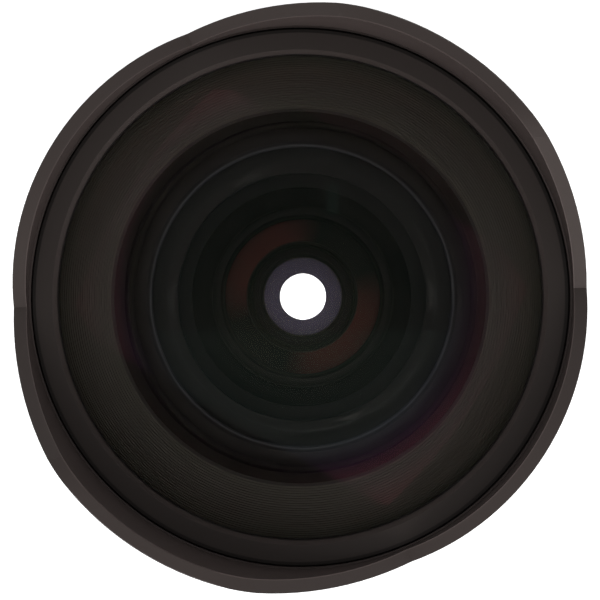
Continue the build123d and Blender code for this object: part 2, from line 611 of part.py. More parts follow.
# Mount and rear barrel
def bayonet_mount():
    """Flange with its seating face at height 0, spigot, three lugs and an inner ledge."""
    body = ring(FLANGE_RADIUS, SPIGOT_BORE, 0, FLANGE_THICKNESS)
    body += ring(SPIGOT_RADIUS, SPIGOT_BORE, -SPIGOT_DEPTH, FLANGE_THICKNESS / 2)
    body += ring(SPIGOT_BORE + MERGE, LEDGE_RADIUS, LEDGE_LOW, -LEDGE_BELOW_SEAT)
    body -= ring(SEAT_INNER_RADIUS, SPIGOT_RADIUS, -OVERCUT, RELIEF_DEPTH)
    lug_top = -LUG_BELOW_SEAT
    for start, span in LUG_SPANS:
        body += sector(
            LUG_RADIUS, SPIGOT_RADIUS - MERGE, lug_top - LUG_THICKNESS, lug_top, start, span
        )
    for place in mount_screw_places():
        body -= place * screw_hole(*MOUNT_SCREW)
    for place in BAFFLE_SCREWS:
        body -= place * screw_hole(*BAFFLE_SCREW)
    lock_place = polar(MOUNT_SCREW_CIRCLE_RADIUS, LOCK_HOLE_ANGLE)
    return body - upright_rod(LOCK_HOLE_RADIUS, -OVERCUT, LOCK_HOLE_DEPTH, lock_place)


def mount_shim():
    body = ring(FLANGE_RADIUS - SHIM_INSET, SPIGOT_RADIUS, FLANGE_THICKNESS, SHIM_TOP)
    for centre in mount_screw_centres():
        body -= upright_rod(MOUNT_SCREW_RADIUS + SHIM_HOLE_CLEARANCE, 0, 2 * SHIM_TOP, centre)
    return body


def rear_light_baffle():
    """Plate on the ledge inside the spigot, with the frame-shaped window."""
    low = LEDGE_LOW - REAR_BAFFLE_THICKNESS
    plate = upright_rod(SPIGOT_BORE - SEAT_CLEARANCE, low, LEDGE_LOW)
    plate -= Pos(0, 0, low) * Box(REAR_WINDOW_LENGTH, REAR_WINDOW_HEIGHT, 4 * REAR_BAFFLE_THICKNESS)
    for place in BAFFLE_SCREWS:
        plate -= place * screw_hole(*BAFFLE_SCREW)
    return plate


def rear_barrel():
    """Shell that carries the mount and takes the rear end of the main barrel."""
    body = turned(
        (SPIGOT_RADIUS, SHIM_TOP),
        (REAR_NECK_RADIUS, SHIM_TOP),
        (REAR_NECK_RADIUS, REAR_NECK_TOP),
        (REAR_BARREL_RADIUS, BARREL_REAR),
        (REAR_BARREL_RADIUS, REAR_BARREL_TOP - EDGE_CHAMFER),
        (REAR_BARREL_RADIUS - EDGE_CHAMFER, REAR_BARREL_TOP),
        (FIXED_BORE, REAR_BARREL_TOP),
        (FIXED_BORE, BARREL_REAR),
        (SPIGOT_RADIUS, BARREL_REAR),
    )
    for place in mount_screw_places():
        body -= place * screw_hole(*MOUNT_SCREW)
    for place in BARREL_SCREWS:
        body -= place * screw_hole(*SMALL_SCREW)
    return body - index_dot_rod(DOT_RADIUS + SEAT_CLEARANCE, OVERCUT)


def index_dot_rod(radius, proud):
    return radial_rod(
        radius,
        REAR_BARREL_RADIUS - DOT_DEPTH,
        REAR_BARREL_RADIUS + proud,
        DOT_ANGLE,
        REAR_BARREL_TOP - DOT_BELOW_TOP,
    )


def mount_index_dot():
    return index_dot_rod(DOT_RADIUS, DOT_PROUD)


# Main barrel, its windows and the fixed index band
def window(outer, inner, low, high, start, span, side_radius):
    """Cutter for a slot along the circumference that clears a rod of side_radius at its ends."""
    margin = math.degrees(math.asin(side_radius / inner))
    return sector(outer, inner, low, high, start - margin, span + 2 * margin)


def iris_pin_window(outer, inner, lift):
    """Window for the iris pin's turn, and for its lift where the wall stays behind."""
    pin_room = IRIS_PIN_RADIUS + WINDOW_CLEARANCE
    return window(
        outer + OVERCUT,
        inner - OVERCUT,
        IRIS_PIN_HEIGHT - pin_room,
        IRIS_PIN_HEIGHT + lift + pin_room,
        ARM_ANGLE,
        IRIS_TRAVEL,
        pin_room,
    )


def roller_angles():
    return evenly(ROLLER_COUNT, ROLLER_START_ANGLE)


def main_barrel():
    """Tube with the iris pin's window and one straight slot along the axis for each roller."""
    body = ring(BARREL_RADIUS, BARREL_BORE, BARREL_REAR, BARREL_FRONT)
    body -= iris_pin_window(BARREL_RADIUS, BARREL_BORE, FOCUS_LIFT)
    slot_half = ROLLER_RADIUS + RUNNING_CLEARANCE
    for angle in roller_angles():
        low = radial_rod(
            slot_half, BARREL_BORE - OVERCUT, BARREL_RADIUS + OVERCUT, angle, ROLLER_HEIGHT
        )
        slot = Rot(0, 0, angle) * Pos(BARREL_RADIUS, 0, ROLLER_HEIGHT + FOCUS_LIFT / 2)
        body -= low
        body -= Pos(0, 0, FOCUS_LIFT) * low
        body -= slot * Box(2 * (BARREL_WALL + OVERCUT), 2 * slot_half, FOCUS_LIFT)
    for place in BARREL_SCREWS:
        body -= place * screw_hole(*SMALL_SCREW)
    return body


def index_band():
    return turned(
        (FIXED_BORE, INDEX_BAND_LOW),
        (INDEX_BAND_RADIUS - EDGE_CHAMFER, INDEX_BAND_LOW),
        (INDEX_BAND_RADIUS, INDEX_BAND_LOW + EDGE_CHAMFER),
        (INDEX_BAND_RADIUS, INDEX_BAND_TOP - EDGE_CHAMFER),
        (INDEX_BAND_RADIUS - EDGE_CHAMFER, INDEX_BAND_TOP),
        (FIXED_BORE, INDEX_BAND_TOP),
    )


# Geared rings
def gear_band(teeth, low, high, bore):
    """Ring of straight-flanked teeth at the gear module."""
    tip = gear_pitch_radius(teeth) + GEAR_MODULE
    root = gear_root(teeth)
    root_half = math.degrees(GEAR_ROOT_HALF_MODULES * GEAR_MODULE / root)
    tip_half = math.degrees(GEAR_TIP_HALF_MODULES * GEAR_MODULE / tip)
    points = []
    for middle in evenly(teeth):
        points.append(polar(root, middle - root_half))
        points.append(polar(tip, middle - tip_half))
        points.append(polar(tip, middle + tip_half))
        points.append(polar(root, middle + root_half))
    outline = make_face(Polyline(*points, close=True)) - Circle(bore)
    return Pos(0, 0, low) * extrude(outline, high - low)


def iris_ring():
    """Geared ring with the T-stop scale and an inner groove that the iris pin runs in."""
    root = gear_root(IRIS_GEAR_TEETH)
    scale = root + IRIS_SCALE_STEP
    neck = root - IRIS_NECK_STEP
    land = neck + IRIS_LAND_STEP
    body = turned(
        (RING_BORE, IRIS_RING_LOW),
        (scale - EDGE_CHAMFER, IRIS_RING_LOW),
        (scale, IRIS_RING_LOW + EDGE_CHAMFER),
        (scale, IRIS_GEAR_LOW - IRIS_GEAR_SHOULDER),
        (neck, IRIS_GEAR_LOW - IRIS_NECK_LENGTH),
        (neck, IRIS_LAND_LOW),
        (land, IRIS_LAND_LOW + IRIS_LAND_SLOPE),
        (land, IRIS_RING_TOP),
        (RING_BORE, IRIS_RING_TOP),
    )
    body += gear_band(IRIS_GEAR_TEETH, IRIS_GEAR_LOW, IRIS_GEAR_TOP, RING_BORE)
    groove_top = IRIS_PIN_HEIGHT + FOCUS_LIFT + IRIS_PIN_RADIUS + RUNNING_CLEARANCE
    groove_reach = IRIS_PIN_TIP_RADIUS + IRIS_GROOVE_ROOM
    groove = Box(
        groove_reach - RING_BORE + OVERCUT,
        2 * (IRIS_PIN_RADIUS + RUNNING_CLEARANCE),
        groove_top - IRIS_RING_LOW + OVERCUT,
        align=(Align.MAX, Align.CENTER, Align.MAX),
    )
    return body - Rot(0, 0, ARM_ANGLE) * Pos(groove_reach, 0, groove_top) * groove


def focus_ring():
    """Geared ring with the distance scale behind the gear and a grip land in front of it."""
    root = gear_root(FOCUS_GEAR_TEETH)
    scale = root - FOCUS_SCALE_STEP
    neck = root - FOCUS_NECK_STEP
    land = root + FOCUS_LAND_STEP
    body = turned(
        (RING_BORE, FOCUS_RING_LOW),
        (scale - EDGE_CHAMFER, FOCUS_RING_LOW),
        (scale, FOCUS_RING_LOW + EDGE_CHAMFER),
        (scale, FOCUS_SCALE_TOP),
        (neck, FOCUS_GEAR_LOW - FOCUS_NECK_LENGTH),
        (neck, FOCUS_GEAR_TOP + FOCUS_NECK_LENGTH),
        (land, FOCUS_LAND_LOW),
        (land, FOCUS_RING_TOP - EDGE_CHAMFER),
        (land - EDGE_CHAMFER, FOCUS_RING_TOP),
        (CAM_SLEEVE_SEAT, FOCUS_RING_TOP),
        (CAM_SLEEVE_SEAT, FOCUS_BEARING_TOP),
        (RING_BORE, FOCUS_BEARING_TOP),
    )
    return body + gear_band(FOCUS_GEAR_TEETH, FOCUS_GEAR_LOW, FOCUS_GEAR_TOP, CAM_SLEEVE_SEAT)


def focus_cam_sleeve():
    """Sleeve inside the focus ring, with one helical slot for each roller."""
    body = ring(CAM_SLEEVE_RADIUS, RING_BORE, CAM_SLEEVE_LOW, CAM_SLEEVE_LOW + CAM_SLEEVE_LENGTH)
    slot_half = ROLLER_RADIUS + RUNNING_CLEARANCE
    margin = math.degrees(math.asin(slot_half / RING_BORE))
    lead = FOCUS_LIFT * 360 / FOCUS_TRAVEL
    turn = FOCUS_TRAVEL + 2 * margin
    middle_radius = (CAM_SLEEVE_RADIUS + RING_BORE) / 2
    path = Helix(lead, lead * turn / 360, middle_radius, lefthand=True)
    start = Plane(path @ 0, x_dir=(1, 0, 0), z_dir=path % 0)
    section = start * Rectangle(2 * CAM_SLEEVE_WALL, 2 * slot_half)
    cutter = sweep(section, path=path, is_frenet=True)
    start_height = ROLLER_HEIGHT - lead * margin / 360
    for angle in roller_angles():
        body -= Rot(0, 0, angle + margin) * Pos(0, 0, start_height) * cutter
    return body


# Focus carriage and its rollers
def roller_rod(extra, angle):
    """Roller pin, or its hole in the carriage when extra is above 0."""
    return radial_rod(
        ROLLER_RADIUS + extra,
        CARRIAGE_BORE - ROLLER_HEAD_HEIGHT,
        ROLLER_TIP_RADIUS,
        angle,
        ROLLER_HEIGHT,
    )


def carriage_rollers():
    """Roller pins with flat heads against the inside of the carriage."""
    head_outer = math.sqrt(CARRIAGE_BORE**2 - ROLLER_HEAD_RADIUS**2) - SEAT_CLEARANCE
    head_inner = head_outer - ROLLER_HEAD_HEIGHT
    rollers = []
    for angle in roller_angles():
        head = radial_rod(ROLLER_HEAD_RADIUS, head_inner, head_outer, angle, ROLLER_HEIGHT)
        rollers.append(roller_rod(0, angle) + head)
    return Compound(rollers)


def focus_carriage():
    """Sliding tube with the web that carries the middle cell and the iris housing."""
    body = ring(CARRIAGE_RADIUS, CARRIAGE_BORE, CARRIAGE_LOW, CARRIAGE_TOP)
    body += ring(CARRIAGE_BORE + MERGE, MIDDLE_CELL_RADIUS + SEAT_CLEARANCE, WEB_LOW, WEB_TOP)
    for angle in roller_angles():
        body -= roller_rod(SEAT_CLEARANCE, angle)
    body -= iris_pin_window(CARRIAGE_RADIUS, CARRIAGE_BORE, 0)
    for place in HOUSING_SCREWS + MIDDLE_SCREWS:
        body -= place * screw_hole(*SMALL_SCREW)
    return body


# Front barrel, hood and front cell
def front_barrel():
    """Shell screwed on the main barrel; its tube takes the front cell and carries the hood."""
    body = turned(
        (FIXED_BORE, FRONT_BARREL_LOW),
        (FRONT_FLANGE_RADIUS - EDGE_CHAMFER, FRONT_BARREL_LOW),
        (FRONT_FLANGE_RADIUS, FRONT_BARREL_LOW + EDGE_CHAMFER),
        (FRONT_FLANGE_RADIUS, HOOD_LOW),
        (FRONT_TUBE_RADIUS, HOOD_LOW),
        (FRONT_TUBE_RADIUS, FRONT_TUBE_TOP),
        (FRONT_BORE, FRONT_TUBE_TOP),
        (FRONT_BORE, FRONT_STOP_TOP),
        (BARREL_STOP_RADIUS, FRONT_STOP_TOP),
        (BARREL_STOP_RADIUS, BARREL_FRONT),
        (FIXED_BORE, BARREL_FRONT),
    )
    for place in HOOD_SCREWS:
        body -= place * screw_hole(*SMALL_SCREW)
    return body


def notch_cutter(angle, long_side):
    """Prism above one notch, cut along the notch's radius: a low arc to the short petal on one
    side and a slope up to the long petal on the other. long_side is 1 if that petal is on the
    anticlockwise side and -1 if not."""
    petal_half = HOOD_RADIUS * math.sin(math.radians(NOTCH_ANGLE))
    curve = (petal_half**2 + SHORT_PETAL_RISE**2) / (2 * SHORT_PETAL_RISE)
    middle = petal_half / 2
    middle_rise = SHORT_PETAL_RISE - curve + math.sqrt(curve**2 - (petal_half - middle) ** 2)
    shoulder = LONG_SLOPE_WIDTH + LONG_SHOULDER_WIDTH
    shoulder_rise = LONG_PETAL_RISE - LONG_SLOPE_RISE
    above = LONG_PETAL_RISE + PETAL_OVERCUT
    beyond = petal_half + PETAL_OVERCUT
    lines = ThreePointArc((-petal_half, SHORT_PETAL_RISE), (-middle, middle_rise), (0, 0))
    lines += ThreePointArc(
        (0, 0),
        (LONG_SLOPE_WIDTH / 2, LONG_SLOPE_RISE / 2 - LONG_SLOPE_SAG),
        (LONG_SLOPE_WIDTH, LONG_SLOPE_RISE),
    )
    lines += ThreePointArc(
        (LONG_SLOPE_WIDTH, LONG_SLOPE_RISE),
        (
            LONG_SLOPE_WIDTH + SHOULDER_MIDDLE_ALONG * LONG_SHOULDER_WIDTH,
            LONG_SLOPE_RISE + SHOULDER_MIDDLE_UP * shoulder_rise,
        ),
        (shoulder, LONG_PETAL_RISE),
    )
    lines += Polyline(
        (shoulder, LONG_PETAL_RISE),
        (shoulder, above),
        (-beyond, above),
        (-beyond, SHORT_PETAL_RISE + OVERCUT),
        (-petal_half, SHORT_PETAL_RISE),
    )
    outline = make_face(lines)
    if long_side < 0:
        outline = mirror(outline, Plane.YZ)
    upright = Plane((HOOD_RADIUS / 2, 0, NOTCH_HEIGHT), x_dir=(0, 1, 0), z_dir=(1, 0, 0))
    return Rot(0, 0, angle) * extrude(upright * outline, HOOD_RADIUS, dir=(1, 0, 0))


def petal_hood():
    """Plain tube with four petals, its foot tapered down to the front barrel's flange."""
    body = turned(
        (HOOD_SEAT_BORE, HOOD_LOW),
        (FRONT_FLANGE_RADIUS, HOOD_LOW),
        (HOOD_RADIUS, HOOD_LOW + HOOD_TAPER_HEIGHT),
        (HOOD_RADIUS, HOOD_TOP - RIM_BREAK),
        (HOOD_RADIUS - RIM_BREAK, HOOD_TOP),
        (HOOD_BORE + RIM_BREAK, HOOD_TOP),
        (HOOD_BORE, HOOD_TOP - RIM_BREAK),
        (HOOD_BORE, HOOD_STEP_HEIGHT),
        (HOOD_SEAT_BORE, HOOD_STEP_HEIGHT),
    )
    notches = (
        (NOTCH_ANGLE, 1),
        (-NOTCH_ANGLE, -1),
        (180 - NOTCH_ANGLE, -1),
        (180 + NOTCH_ANGLE, 1),
    )
    body -= [notch_cutter(angle, long_side) for angle, long_side in notches]
    for place in HOOD_SCREWS:
        body -= place * screw_hole(*SMALL_SCREW)
    return body


def front_retaining_ring():
    """Flat ring round the front element, with a chamfered lip over the glass."""
    foot = FRONT_SEAT_TOP + FRONT_RING_FOOT_GAP
    return turned(
        (FRONT_LIP_RADIUS, FRONT_LIP_LOW),
        (FRONT_CELL_BORE, FRONT_LIP_LOW),
        (FRONT_CELL_BORE, foot),
        (FRONT_CELL_RADIUS, foot),
        (FRONT_CELL_RADIUS, FRONT_RING_UNDERSIDE),
        (FRONT_RING_RADIUS, FRONT_RING_UNDERSIDE),
        (FRONT_RING_RADIUS, FRONT_RING_TOP),
        (FRONT_LIP_RADIUS + FRONT_LIP_CHAMFER, FRONT_RING_TOP),
        (FRONT_LIP_RADIUS, FRONT_RING_TOP - FRONT_LIP_CHAMFER),
    )


def front_lens_cell():
    """Stepped cell with a bore for each of the three front elements and their rings."""
    second_bore = SECOND_GLASS["rim"] + GLASS_GAP
    second_recess = SECOND_RETAINER_RADIUS + SEAT_CLEARANCE
    second_floor = SECOND_RETAINER_LOW - RETAINER_FLOOR_GAP
    second_outside = second_recess + SECOND_SEAT_WALL
    third_bore = THIRD_GLASS["rim"] + GLASS_GAP
    third_recess = THIRD_RETAINER_RADIUS + SEAT_CLEARANCE
    third_floor = THIRD_RETAINER_LOW - RETAINER_FLOOR_GAP
    opening = THIRD_GLASS["back_ground"] + THIRD_SEAT_STEP
    neck = third_recess + FRONT_CELL_NECK_WALL
    return turned(
        (FRONT_CELL_BORE, FRONT_SEAT_TOP),
        (FRONT_CELL_BORE, BAFFLE_LOW),
        (second_recess, BAFFLE_LOW),
        (second_recess, second_floor),
        (second_bore, second_floor),
        (second_bore, SECOND_SEAT),
        (third_recess, SECOND_SEAT),
        (third_recess, third_floor),
        (third_bore, third_floor),
        (third_bore, SHADE_RING_LOW),
        (opening, SHADE_RING_LOW),
        (opening, FRONT_CELL_LOW),
        (neck, FRONT_CELL_LOW),
        (neck, SECOND_SEAT - SECOND_SEAT_THICKNESS),
        (second_outside, SECOND_SEAT - SECOND_SEAT_THICKNESS),
        (second_outside, FRONT_STOP_TOP),
        (FRONT_CELL_RADIUS, FRONT_STOP_TOP),
        (FRONT_CELL_RADIUS, FRONT_SEAT_TOP),
    )


def ribbed_baffle():
    """Ring under the front element's flat shoulder, with fine concentric ribs on its face."""
    outer = FRONT_GLASS["rim"]
    rib_span = outer - BAFFLE_RIM_WIDTH - BAFFLE_OPENING_RADIUS
    rib_count = int(rib_span / BAFFLE_RIB_PITCH)
    pitch = rib_span / rib_count
    points = [(BAFFLE_OPENING_RADIUS, BAFFLE_LOW), (outer, BAFFLE_LOW), (outer, BAFFLE_TOP)]
    for index in range(rib_count):
        crest = outer - BAFFLE_RIM_WIDTH - index * pitch
        points.append((crest, BAFFLE_TOP))
        points.append((crest - BAFFLE_RIB_SLOPE_SHARE * pitch, BAFFLE_TOP - BAFFLE_RIB_DEPTH))
    points.append((BAFFLE_OPENING_RADIUS, BAFFLE_TOP))
    return turned(*points)


def second_element_retainer():
    low = SECOND_RETAINER_LOW
    high = low + SECOND_RETAINER_HEIGHT
    return turned(
        (SECOND_RETAINER_OPENING, low),
        (SECOND_RETAINER_RADIUS, low),
        (SECOND_RETAINER_RADIUS, high),
        (SECOND_RETAINER_OPENING + SECOND_RETAINER_CHAMFER, high),
        (SECOND_RETAINER_OPENING, high - SECOND_RETAINER_CHAMFER),
    )


def third_element_retainer():
    low = THIRD_RETAINER_LOW
    return ring(THIRD_RETAINER_RADIUS, THIRD_RETAINER_OPENING, low, low + THIRD_RETAINER_HEIGHT)


def third_element_shade_ring():
    """Thin dark ring that the third element's back shoulder sits on."""
    outer = THIRD_GLASS["rim"] - SHADE_RING_INSET
    inner = THIRD_GLASS["back_ground"] + SHADE_RING_INSET
    return ring(outer, inner, SHADE_RING_LOW, SHADE_RING_TOP)


# Middle cell
def middle_lens_cell():
    """Cell for the cemented pair and the single element before the iris, with a screw flange."""
    recess = MIDDLE_RETAINER_RADIUS + SEAT_CLEARANCE
    floor = MIDDLE_RETAINER_LOW - RETAINER_FLOOR_GAP
    small_bore = SIXTH_GLASS["rim"] + GLASS_GAP
    flange_top = WEB_TOP + MIDDLE_FLANGE_HEIGHT
    body = turned(
        (recess, MIDDLE_CELL_TOP),
        (recess, floor),
        (MIDDLE_CELL_BORE, floor),
        (MIDDLE_CELL_BORE, MIDDLE_SEAT),
        (small_bore, MIDDLE_SEAT),
        (small_bore, SIXTH_SEAT),
        (MIDDLE_SEAT_OPENING, SIXTH_SEAT),
        (MIDDLE_SEAT_OPENING, MIDDLE_CELL_LOW),
        (MIDDLE_CELL_RADIUS, MIDDLE_CELL_LOW),
        (MIDDLE_CELL_RADIUS, WEB_TOP),
        (MIDDLE_FLANGE_RADIUS, WEB_TOP),
        (MIDDLE_FLANGE_RADIUS, flange_top),
        (MIDDLE_CELL_RADIUS, flange_top),
        (MIDDLE_CELL_RADIUS, MIDDLE_CELL_TOP),
    )
    for place in MIDDLE_SCREWS:
        body -= place * screw_hole(*SMALL_SCREW)
    return body


def middle_group_retainer():
    low = MIDDLE_RETAINER_LOW
    return ring(MIDDLE_RETAINER_RADIUS, MIDDLE_RETAINER_OPENING, low, low + MIDDLE_RETAINER_HEIGHT)


def middle_spacer():
    inner = SIXTH_GLASS["rim"] - MIDDLE_SPACER_WALL
    low = surface_height(SIXTH_ELEMENT["front"], inner) + GLASS_GAP
    return ring(SIXTH_GLASS["rim"], inner, low, MIDDLE_SEAT)


# Rear cell
def rear_lens_cell():
    """Tube behind the iris housing for the four rear elements and their spacers."""
    lip = surface_height(SEVENTH_ELEMENT["front"], REAR_SEAT_OPENING) + GLASS_GAP
    recess = REAR_RETAINER_RADIUS + SEAT_CLEARANCE
    floor = REAR_RETAINER_TOP + RETAINER_FLOOR_GAP
    flange_low = HOUSING_LOW - REAR_CELL_FLANGE_HEIGHT
    return turned(
        (REAR_SEAT_OPENING, HOUSING_LOW),
        (REAR_SEAT_OPENING, lip),
        (REAR_CELL_BORE, lip),
        (REAR_CELL_BORE, floor),
        (recess, floor),
        (recess, REAR_CELL_LOW),
        (REAR_CELL_RADIUS, REAR_CELL_LOW),
        (REAR_CELL_RADIUS, flange_low),
        (HOUSING_RADIUS, flange_low),
        (HOUSING_RADIUS, HOUSING_LOW),
    )


def rear_retaining_ring():
    return ring(
        REAR_RETAINER_RADIUS, REAR_RETAINER_OPENING, REAR_RETAINER_LOW, REAR_RETAINER_TOP
    )


def rear_spacer(above, below):
    """Ring between the back of the element above and the front of the element below."""
    inner = below["rim"] - SPACER_WALL
    high = min(surface_height(above["back"], inner), rim_height(above["back"]))
    low = max(surface_height(below["front"], inner), rim_height(below["front"]))
    return ring(below["rim"], inner, low + GLASS_GAP, high - GLASS_GAP)


# Iris
def pivot_place(index):
    return Rot(0, 0, 360.0 * index / BLADE_COUNT)


def open_turn():
    """Turn of a blade about its pivot that narrows its inner edge to the open radius."""
    return 2 * math.degrees(math.asin(BLADE_HIDDEN_WIDTH / (2 * PIVOT_CIRCLE_RADIUS)))


def about_pivot(angle):
    return Pos(PIVOT_CIRCLE_RADIUS, 0, 0) * Rot(0, 0, angle) * Pos(-PIVOT_CIRCLE_RADIUS, 0, 0)


def tail_point(swing):
    """Place of the first blade's tail pin after the blade has swung by this angle."""
    x, y = polar(TAIL_LENGTH, TAIL_ANGLE + swing)
    return PIVOT_CIRCLE_RADIUS + x, y


def iris_blade(index):
    """Thin crescent with a pivot pin in front and a tail pin behind, at its open place."""
    low = BLADE_LOW + index * BLADE_PITCH
    high = low + BLADE_THICKNESS
    crescent = sector(BLADE_OUTER_RADIUS, BLADE_INNER_RADIUS, low, high, 0, BLADE_SPAN_ANGLE)
    tail = tail_point(0)
    ear_reach = PIVOT_CIRCLE_RADIUS + BLADE_EAR_RADIUS
    ear = Pos(ear_reach, 0, low) * Box(
        ear_reach - BLADE_INNER_RADIUS - BLADE_EAR_OVERLAP,
        2 * BLADE_EAR_RADIUS,
        BLADE_THICKNESS,
        align=(Align.MAX, Align.CENTER, Align.MIN),
    )
    tail_bar = Pos(PIVOT_CIRCLE_RADIUS, 0, low) * Rot(0, 0, TAIL_ANGLE) * Box(
        TAIL_LENGTH,
        2 * BLADE_EAR_RADIUS,
        BLADE_THICKNESS,
        align=(Align.MIN, Align.CENTER, Align.MIN),
    )
    pivot = (PIVOT_CIRCLE_RADIUS, 0)
    body = about_pivot(open_turn()) * (crescent + ear) + tail_bar
    body += upright_rod(BLADE_EAR_RADIUS, low, high, tail)
    body += upright_rod(BLADE_PIN_RADIUS, low, PLATE_LOW + PIVOT_PIN_REACH, pivot)
    body += upright_rod(BLADE_PIN_RADIUS, CAM_RING_TOP - TAIL_PIN_REACH, high, tail)
    return pivot_place(index) * body


def cam_slot_point(swing):
    """Tail pin's place as the cam ring sees it, once the ring has turned in proportion."""
    x, y = tail_point(swing)
    turn = math.radians(-IRIS_TRAVEL * swing / BLADE_SWING)
    return (
        x * math.cos(turn) - y * math.sin(turn),
        x * math.sin(turn) + y * math.cos(turn),
    )


def iris_cam_ring():
    """Ring with a curved slot for each tail pin and a long arm for the iris pin."""
    body = ring(CAM_RING_RADIUS, CAM_RING_OPENING, CAM_RING_LOW, CAM_RING_TOP)
    path = ThreePointArc(
        cam_slot_point(0), cam_slot_point(BLADE_SWING / 2), cam_slot_point(BLADE_SWING)
    )
    slot = SlotArc(path, 2 * (BLADE_PIN_RADIUS + CAM_SLOT_CLEARANCE))
    depth = CAM_RING_THICKNESS + 2 * OVERCUT
    cutter = Pos(0, 0, CAM_RING_LOW - OVERCUT) * extrude(slot, depth)
    for index in range(BLADE_COUNT):
        body -= pivot_place(index) * cutter
    arm_low = IRIS_PIN_HEIGHT - IRIS_PIN_RADIUS - ARM_END_WALL
    inwards = (Align.MAX, Align.CENTER, Align.MIN)
    tab = Box(
        ARM_OUTER_RADIUS - CAM_RING_RADIUS + MERGE, ARM_WIDTH, CAM_RING_THICKNESS, align=inwards
    )
    bar = Box(ARM_THICKNESS, ARM_WIDTH, CAM_RING_TOP - arm_low, align=inwards)
    arm = Pos(ARM_OUTER_RADIUS, 0, CAM_RING_LOW) * tab + Pos(ARM_OUTER_RADIUS, 0, arm_low) * bar
    body += Rot(0, 0, ARM_ANGLE) * arm
    return body - radial_rod(
        IRIS_PIN_RADIUS + SEAT_CLEARANCE,
        ARM_INNER_RADIUS - OVERCUT,
        ARM_OUTER_RADIUS + OVERCUT,
        ARM_ANGLE,
        IRIS_PIN_HEIGHT,
    )


def iris_drive_pin():
    return radial_rod(
        IRIS_PIN_RADIUS, ARM_INNER_RADIUS, IRIS_PIN_TIP_RADIUS, ARM_ANGLE, IRIS_PIN_HEIGHT
    )


def iris_housing():
    """Cup that the blades pivot in; its flange is screwed to the carriage's web."""
    body = ring(HOUSING_FLANGE_RADIUS, HOUSING_OPENING, PLATE_LOW, WEB_LOW)
    body += ring(HOUSING_RADIUS, HOUSING_BORE, HOUSING_LOW, PLATE_LOW + MERGE)
    body -= window(
        HOUSING_RADIUS + OVERCUT,
        HOUSING_BORE - OVERCUT,
        CAM_RING_LOW - WINDOW_CLEARANCE,
        CAM_RING_TOP + WINDOW_CLEARANCE,
        ARM_ANGLE,
        IRIS_TRAVEL,
        ARM_WIDTH / 2 + WINDOW_CLEARANCE,
    )
    pivot = (PIVOT_CIRCLE_RADIUS, 0)
    hole_radius = BLADE_PIN_RADIUS + RUNNING_CLEARANCE
    hole = upright_rod(hole_radius, PLATE_LOW - OVERCUT, WEB_LOW + OVERCUT, pivot)
    for index in range(BLADE_COUNT):
        body -= pivot_place(index) * hole
    for place in HOUSING_SCREWS:
        body -= place * screw_hole(*SMALL_SCREW)
    return body


def iris_retaining_ring():
    return ring(
        HOUSING_BORE - SEAT_CLEARANCE,
        CAM_RING_OPENING,
        IRIS_RETAINER_TOP - RETAINER_THICKNESS,
        IRIS_RETAINER_TOP,
    )


PARTS = {
    "bayonet_mount": bayonet_mount(),
    "mount_screws": group(mount_screw_places(), screw(*MOUNT_SCREW)),
    "mount_shim": mount_shim(),
    "rear_light_baffle": rear_light_baffle(),
    "rear_baffle_screws": group(BAFFLE_SCREWS, screw(*BAFFLE_SCREW)),
    "rear_barrel": rear_barrel(),
    "rear_barrel_screws": group(BARREL_SCREWS, screw(*SMALL_SCREW)),
    "mount_index_dot": mount_index_dot(),
    "main_barrel": main_barrel(),
    "iris_ring": iris_ring(),
    "index_band": index_band(),
    "focus_ring": focus_ring(),
    "focus_cam_sleeve": focus_cam_sleeve(),
    "focus_carriage": focus_carriage(),
    "carriage_rollers": carriage_rollers(),
    "front_barrel": front_barrel(),
    "petal_hood": petal_hood(),
    "hood_screws": group(HOOD_SCREWS, screw(*SMALL_SCREW)),
    "front_retaining_ring": front_retaining_ring(),
    "front_lens_cell": front_lens_cell(),
    "ribbed_baffle": ribbed_baffle(),
    "front_element": lens_element(FRONT_ELEMENT),
    "second_element": lens_element(SECOND_ELEMENT),
    "second_element_retainer": second_element_retainer(),
    "third_element": lens_element(THIRD_ELEMENT),
    "third_element_retainer": third_element_retainer(),
    "third_element_shade_ring": third_element_shade_ring(),
    "middle_lens_cell": middle_lens_cell(),
    "middle_cell_screws": group(MIDDLE_SCREWS, screw(*SMALL_SCREW)),
    "fourth_element": lens_element(FOURTH_ELEMENT),
    "fifth_element": lens_element(FIFTH_ELEMENT),
    "middle_spacer": middle_spacer(),
    "sixth_element": lens_element(SIXTH_ELEMENT),
    "middle_group_retainer": middle_group_retainer(),
    "iris_housing": iris_housing(),
    "iris_housing_screws": group(HOUSING_SCREWS, screw(*SMALL_SCREW)),
    "iris_cam_ring": iris_cam_ring(),
    "iris_drive_pin": iris_drive_pin(),
    "iris_retaining_ring": iris_retaining_ring(),
    "rear_lens_cell": rear_lens_cell(),
    "seventh_element": lens_element(SEVENTH_ELEMENT),
    "eighth_element": lens_element(EIGHTH_ELEMENT),
    "rear_front_spacer": rear_spacer(EIGHTH_ELEMENT, NINTH_ELEMENT),
    "ninth_element": lens_element(NINTH_ELEMENT),
    "rear_back_spacer": rear_spacer(NINTH_ELEMENT, TENTH_ELEMENT),
    "tenth_element": lens_element(TENTH_ELEMENT),
    "rear_retaining_ring": rear_retaining_ring(),
}
for blade_index in range(BLADE_COUNT):
    PARTS[f"iris_blade_{blade_index + 1}"] = iris_blade(blade_index)

os.makedirs("parts", exist_ok=True)
for node, shape in PARTS.items():
    export_step(shape, f"parts/{node}.step")
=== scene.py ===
"""Finishes, glass, scales and a studio for an ultra-wide cine lens with a fixed petal hood."""

import json
import math

import bmesh
import bpy
from mathutils import Matrix, Vector

